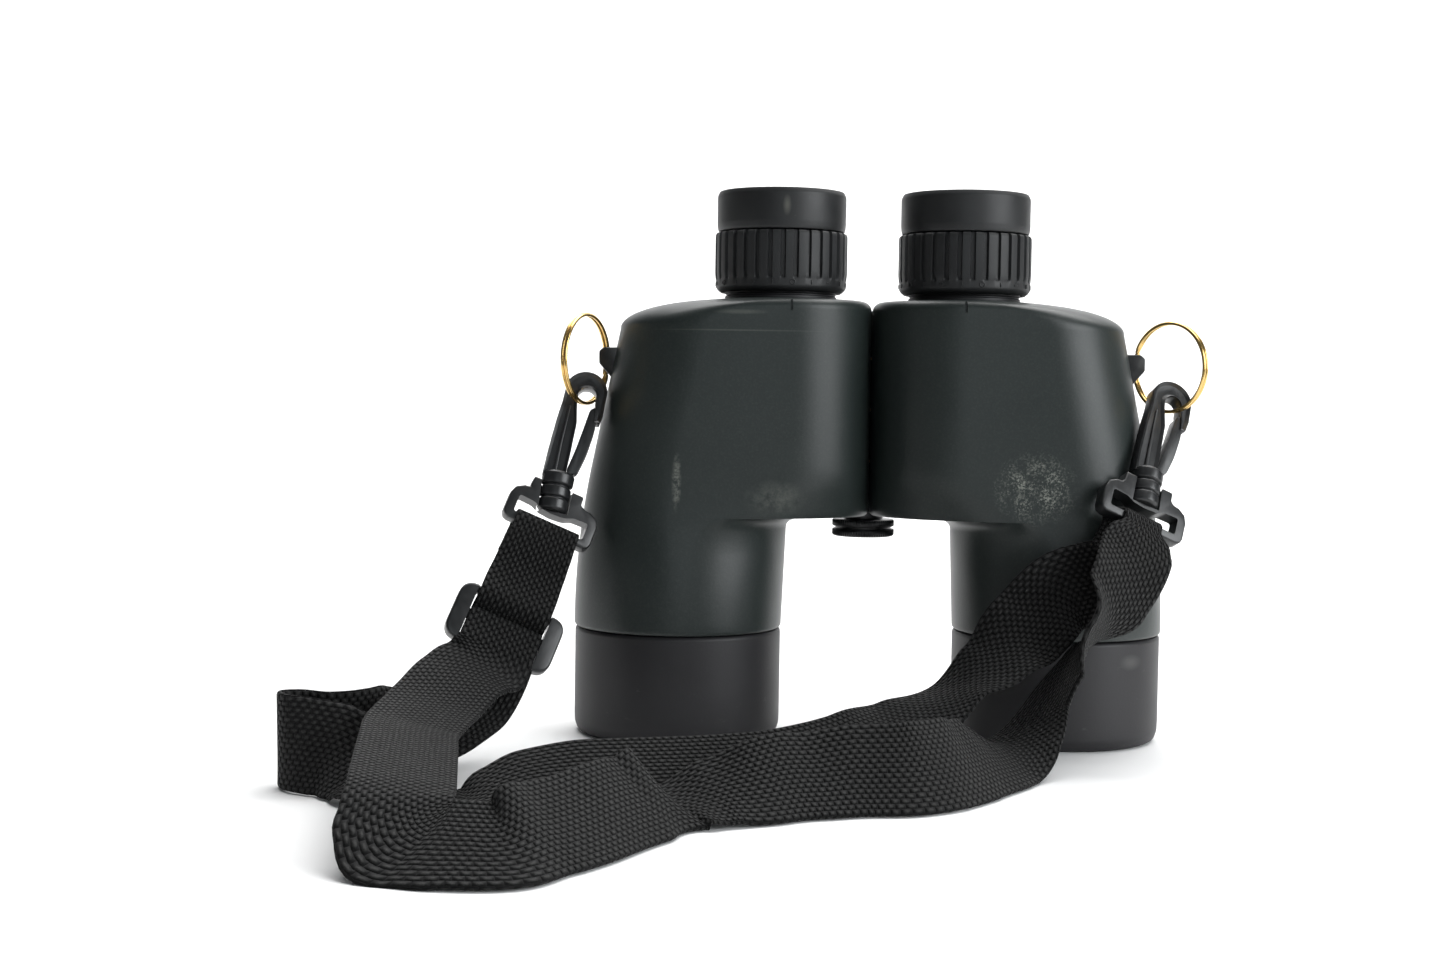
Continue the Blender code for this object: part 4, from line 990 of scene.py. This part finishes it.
def hook_plate():
    """Arm, eye and beak as one plate whose faces are sunk between raised rims."""
    outline = [(-5.0, 12.0), (-4.7, 20.0), (-4.0, 30.0), (-3.3, 36.0)]
    outline += arc((3.2, 40.0), 6.5, 165, 10, 16)
    outline += [(9.6, 34.5), (9.0, 31.2), (7.3, 31.0), (7.1, 34.4), (6.5, 37.4)]
    outline += arc((3.7, 38.9), 2.8, 0, 180, 10)
    outline += [(1.1, 36.4), (2.2, 30.0), (2.1, 20.0), (1.8, 12.0)]
    bm = extruded(outline, 4.8)
    faces = sorted(bm.faces, key=lambda face: -len(face.verts))[:2]
    bmesh.ops.inset_individual(bm, faces=faces, thickness=0.95, depth=-0.9, use_even_offset=True)
    return soften(bm, 0.3, 2, 35.0)


def arm_ridge(side):
    """Rib along the middle of the arm's channel."""
    ridge = [(-2.1, 13.0), (-1.7, 24.0), (-1.2, 35.0), (-0.5, 35.0), (-0.9, 24.0), (-1.0, 13.0)]
    bm = soften(extruded(ridge, 1.3), 0.25, 2, 35.0)
    bmesh.ops.translate(bm, vec=(0.0, side * 1.5, 0.0), verts=bm.verts)
    return bm


def make_hook(name, side, paint):
    at, axes = hook_place(name, side)
    hook = add_piece(name + "_hook_body", placed(hook_plate(), at, axes), name + "_hook",
                     paint, (name + "_snap_hook",), sharp=45.0)
    for face in (-1, 1):
        cut_or_join(hook, placed(arm_ridge(face), at, axes), "UNION")
    base = [(0.0, 1.3), (3.9, 1.3), (4.6, 2.0), (4.6, 4.9), (3.9, 5.2), (3.9, 5.55), (4.6, 5.9), (4.6, 8.7),
            (3.9, 9.0), (3.9, 9.35), (4.8, 9.8), (4.9, 12.8), (4.3, 13.6), (0.0, 13.6)]
    cut_or_join(hook, placed(turned(base, 64, closed=False, corner=0.35), at, axes), "UNION")
    gate = [(1.7, 13.7), (5.1, 13.7), (7.0, 21.0), (8.0, 28.5), (8.0, 34.6), (6.9, 36.0), (5.4, 34.8),
            (4.5, 28.5), (3.3, 21.0)]
    tongue = soften(extruded(rounded(gate, 2.0, True, 3), 4.0), 0.5, 3)
    add_piece(name + "_gate_tongue", placed(tongue, at, axes), name + "_gate", paint,
              (name + "_hook_gate",))
    return hook


def make_frame(name, side, paint):
    """Loop for the webbing, with a cradle and two posts around the foot of the hook's base."""
    at, axes = frame_place(name, side)
    half, foot = FRAME_HALF, FRAME_LOW
    hook_axes = hook_place(name, side)[1]
    shift = axes.transposed() @ (hook_axes @ Vector((0.0, 0.0, FRAME_LIFT)))
    outline = []
    for turn in (1, -1):
        edge = [(half - 2.0, foot), (half - 0.6, foot + 0.6), (half, foot + 2.0), (half, 1.4),
                (half - 0.9, 3.9), (half - 3.2, FRAME_LIFT - 0.2), (half - 5.0, FRAME_LIFT), (8.2, 6.4),
                (8.0, 9.2), (5.0, 9.2)]
        edge = [(turn * x + (shift.x if z > 6.0 else 0.0), z) for x, z in edge]
        outline += edge if turn > 0 else edge[::-1]
    loop = soften(extruded(outline, FRAME_DEPTH), 0.55, 3, 30.0)
    piece = add_piece(name + "_loop_frame", placed(loop, at, axes), name + "_half", paint,
                      (name + "_strap_frame",), sharp=45.0)
    inner, low = half - 2.9, foot + FRAME_RAIL
    window = [(inner, low), (inner, 1.7), (6.4, 1.5), (4.0, 0.3), (0.0, -0.1), (-4.0, 0.3), (-6.4, 1.5),
              (-inner, 1.7), (-inner, low)]
    cut_or_join(piece, placed(extruded(rounded(window, 0.8, True), 8.0), at, axes), "DIFFERENCE")
    seat = turned([(0.0, 1.1), (5.1, 1.1), (5.1, 12.0), (0.0, 12.0)], 48, closed=False)
    cut_or_join(piece, placed(seat, at, hook_axes), "DIFFERENCE")
    return piece


def make_slider(paint):
    """Rounded plate with two slots; its cheeks stand in front of and behind its three bars."""
    axes = axes_from(SLIDER_SIDE, SLIDER_AXIS)
    half, tall, inside = 16.4, 8.8, 11.6
    corners = [(half, tall), (-half, tall), (-half, -tall), (half, -tall)]
    plate = soften(extruded(rounded(corners, 4.6, True, 6), 5.0), 0.8, 3, 35.0)
    piece = add_piece("slider_body", placed(plate, SLIDER_AT, axes), "slider", paint,
                      ("strap_slider",), sharp=45.0)
    slots = ((1.3, tall - 2.2), (-tall + 2.2, -1.3))
    cutters = []
    for low, high in slots:
        slot = [(-inside, low), (inside, low), (inside, high), (-inside, high)]
        cutters.append(extruded(rounded(slot, 0.6, True), 9.0))
    for facing in (-1, 1):
        near, far = sorted((facing * 0.8, facing * 6.0))
        cutters.append(block((-inside, near, -tall - 1.0), (inside, far, tall + 1.0)))
    for cutter in cutters:
        cut_or_join(piece, placed(cutter, SLIDER_AT, axes), "DIFFERENCE")
    return piece


# Knob under the hinge -----------------------------------------------------------------------

def make_knob(paint):
    """Two knurled discs on a narrower stem."""
    count = 72
    profile = [(0.0, 60.2, 0), (8.9, 60.2, 0), (9.6, 60.4, 0.5), (10.0, 60.9, 1), (10.0, 62.4, 1),
               (9.6, 62.7, 0.5), (9.0, 62.85, 0), (9.0, 63.25, 0), (9.6, 63.4, 0.5), (10.0, 63.7, 1),
               (10.0, 65.3, 1), (9.6, 65.7, 0.5), (8.8, 65.9, 0), (6.3, 66.1, 0), (6.3, 68.2, 0),
               (3.0, 68.2, 0), (3.0, 75.5, 0), (0.0, 75.5, 0)]
    bm = bmesh.new()
    rings = []
    for radius, z, grooved in profile:
        ring = []
        for index in range(count * 2):
            here = radius - (0.35 * grooved if index % 2 else 0.0)
            angle = math.pi * index / count
            ring.append(bm.verts.new((here * math.cos(angle), here * math.sin(angle) + HINGE_Y, z)))
        rings.append(ring)
    bridge(bm, rings)
    bmesh.ops.remove_doubles(bm, verts=bm.verts, dist=1e-4)
    add_piece("knob_discs", bm, "cap", paint, ("tripod_cap",), sharp=50.0)


# Nodes kept as they come ---------------------------------------------------------------------

def repaint_inside(black_alloy):
    shelf = metal_paint("shelf_alloy", (0.03, 0.03, 0.032), (0.08, 0.08, 0.085), 0.35)
    steel = metal_paint("axle_steel", (0.42, 0.42, 0.43), (0.62, 0.62, 0.63), 0.22)
    brass = metal_paint("turned_brass", (0.55, 0.36, 0.12), (0.80, 0.58, 0.24), 0.22)
    glass, seal = glass_paint(), seal_paint()
    coats = {"objective_cell": black_alloy, "lens_retaining_ring": black_alloy, "ocular_tube": black_alloy,
             "crown_lens": glass, "flint_lens": glass, "upper_prism": glass, "lower_prism": glass,
             "field_lens": glass, "eye_lens": glass, "objective_gasket": seal, "prism_shelf": shelf}
    coats = {half + "_" + part: paint for half in HALVES for part, paint in coats.items()}
    coats.update({"hinge_cap": black_alloy, "tripod_cap_seal": seal, "hinge_axle": steel,
                  "lower_hinge_washer": brass, "middle_hinge_washer": brass, "upper_hinge_washer": brass,
                  "tripod_socket": brass})
    for name, paint in coats.items():
        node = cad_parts[name]
        node.data.materials.clear()
        node.data.materials.append(paint)


# Stage --------------------------------------------------------------------------------------

def make_stage():
    """Pale floor that curves up into a backdrop well behind the object."""
    cove = Paint("cove", (0.90, 0.90, 0.90), 0.7, Specular_IOR_Level=0.1)
    shade = cove.noise(3.0, 2.0)
    cove.feed("Base Color", cove.mix(shade, (0.89, 0.89, 0.885), (0.91, 0.91, 0.91)))
    half, front, back, radius, tall = 3.5, -0.38, 1.6, 0.8, 3.0
    profile = [(front, 0.0)]
    profile += arc((back, radius), radius, -90, 0, 16)
    profile += [(back + radius, tall)]
    bm = bmesh.new()
    low = [bm.verts.new((-half, y, z)) for y, z in profile]
    high = [bm.verts.new((half, y, z)) for y, z in profile]
    for index in range(len(profile) - 1):
        bm.faces.new((low[index], high[index], high[index + 1], low[index + 1]))
    mesh = bpy.data.meshes.new("cove")
    bm.to_mesh(mesh)
    bm.free()
    mesh.shade_smooth()
    mesh.materials.append(cove.material)
    linked("cove", mesh)


def soft_light(name, place, target, size, watts, colour=(1.0, 1.0, 1.0)):
    data = bpy.data.lights.new(name, "AREA")
    data.shape = "RECTANGLE"
    data.size, data.size_y = size
    data.energy = watts
    data.color = colour
    light = linked(name, data)
    light.location = place
    aim = Vector(target) - Vector(place)
    light.rotation_euler = aim.to_track_quat("-Z", "Y").to_euler()


def make_light():
    """Bright ceiling and backdrop, a window to the right and a narrow card in front."""
    scene = bpy.context.scene
    world = bpy.data.worlds.new("studio")
    world.use_nodes = True
    nodes, links = world.node_tree.nodes, world.node_tree.links
    dim = nodes["Background"]
    dim.inputs["Color"].default_value = (0.93, 0.96, 1.0, 1.0)
    dim.inputs["Strength"].default_value = 0.10
    # Beyond the floor's edges the room is as pale as the floor, but it lights nothing
    pale = nodes.new("ShaderNodeBackground")
    pale.inputs["Color"].default_value = (1.0, 1.0, 1.0, 1.0)
    seen = nodes.new("ShaderNodeLightPath")
    either = nodes.new("ShaderNodeMixShader")
    links.new(seen.outputs["Is Camera Ray"], either.inputs[0])
    links.new(dim.outputs[0], either.inputs[1])
    links.new(pale.outputs[0], either.inputs[2])
    links.new(either.outputs[0], nodes["World Output"].inputs["Surface"])
    scene.world = world
    scene.view_settings.view_transform = "Standard"
    soft_light("ceiling", (0.25, 0.60, 1.8), (0.0, 0.15, 0.0), (2.4, 1.7), 52.0)
    soft_light("backdrop_wash", (0.6, 0.9, 1.9), (0.3, 2.4, 0.7), (3.4, 0.8), 62.0)
    soft_light("side_window", (1.10, -0.75, 0.50), (0.0, 0.0, 0.08), (0.9, 0.8), 15.0, (0.95, 0.98, 1.0))
    soft_light("front_card", (0.02, -1.7, 0.50), (-0.03, 0.0, 0.10), (0.30, 0.9), 2.6, (0.90, 0.97, 1.0))


def main():
    make_camera()
    run = make_strap(webbing_paint())
    housing, hood, rubber = housing_paint(), hood_paint(), eyepiece_paint()
    plastic = fitting_paint()
    gold = metal_paint("gold_wire", (0.62, 0.38, 0.11), (0.95, 0.70, 0.30), 0.12,
                       (700.0, 4.0, 0.6, 0.2), 1.0)
    black_alloy = metal_paint("black_alloy", (0.007, 0.007, 0.008), (0.022, 0.022, 0.024), 0.38,
                              (700.0, 3.0, 0.55, 0.2), 5.0, 0.3)
    for name, side in HALVES.items():
        make_housing(name, side, housing)
        make_hood(name, side, hood)
        make_neck(name, side, black_alloy)
        make_eyepiece(name, side, rubber)
        make_lug(name, side, plastic)
        make_split_ring(name, side, gold)
        make_hook(name, side, plastic)
        make_frame(name, side, plastic)
    make_slider(plastic)
    make_knob(plastic)
    repaint_inside(black_alloy)
    make_stage()
    make_light()


main()
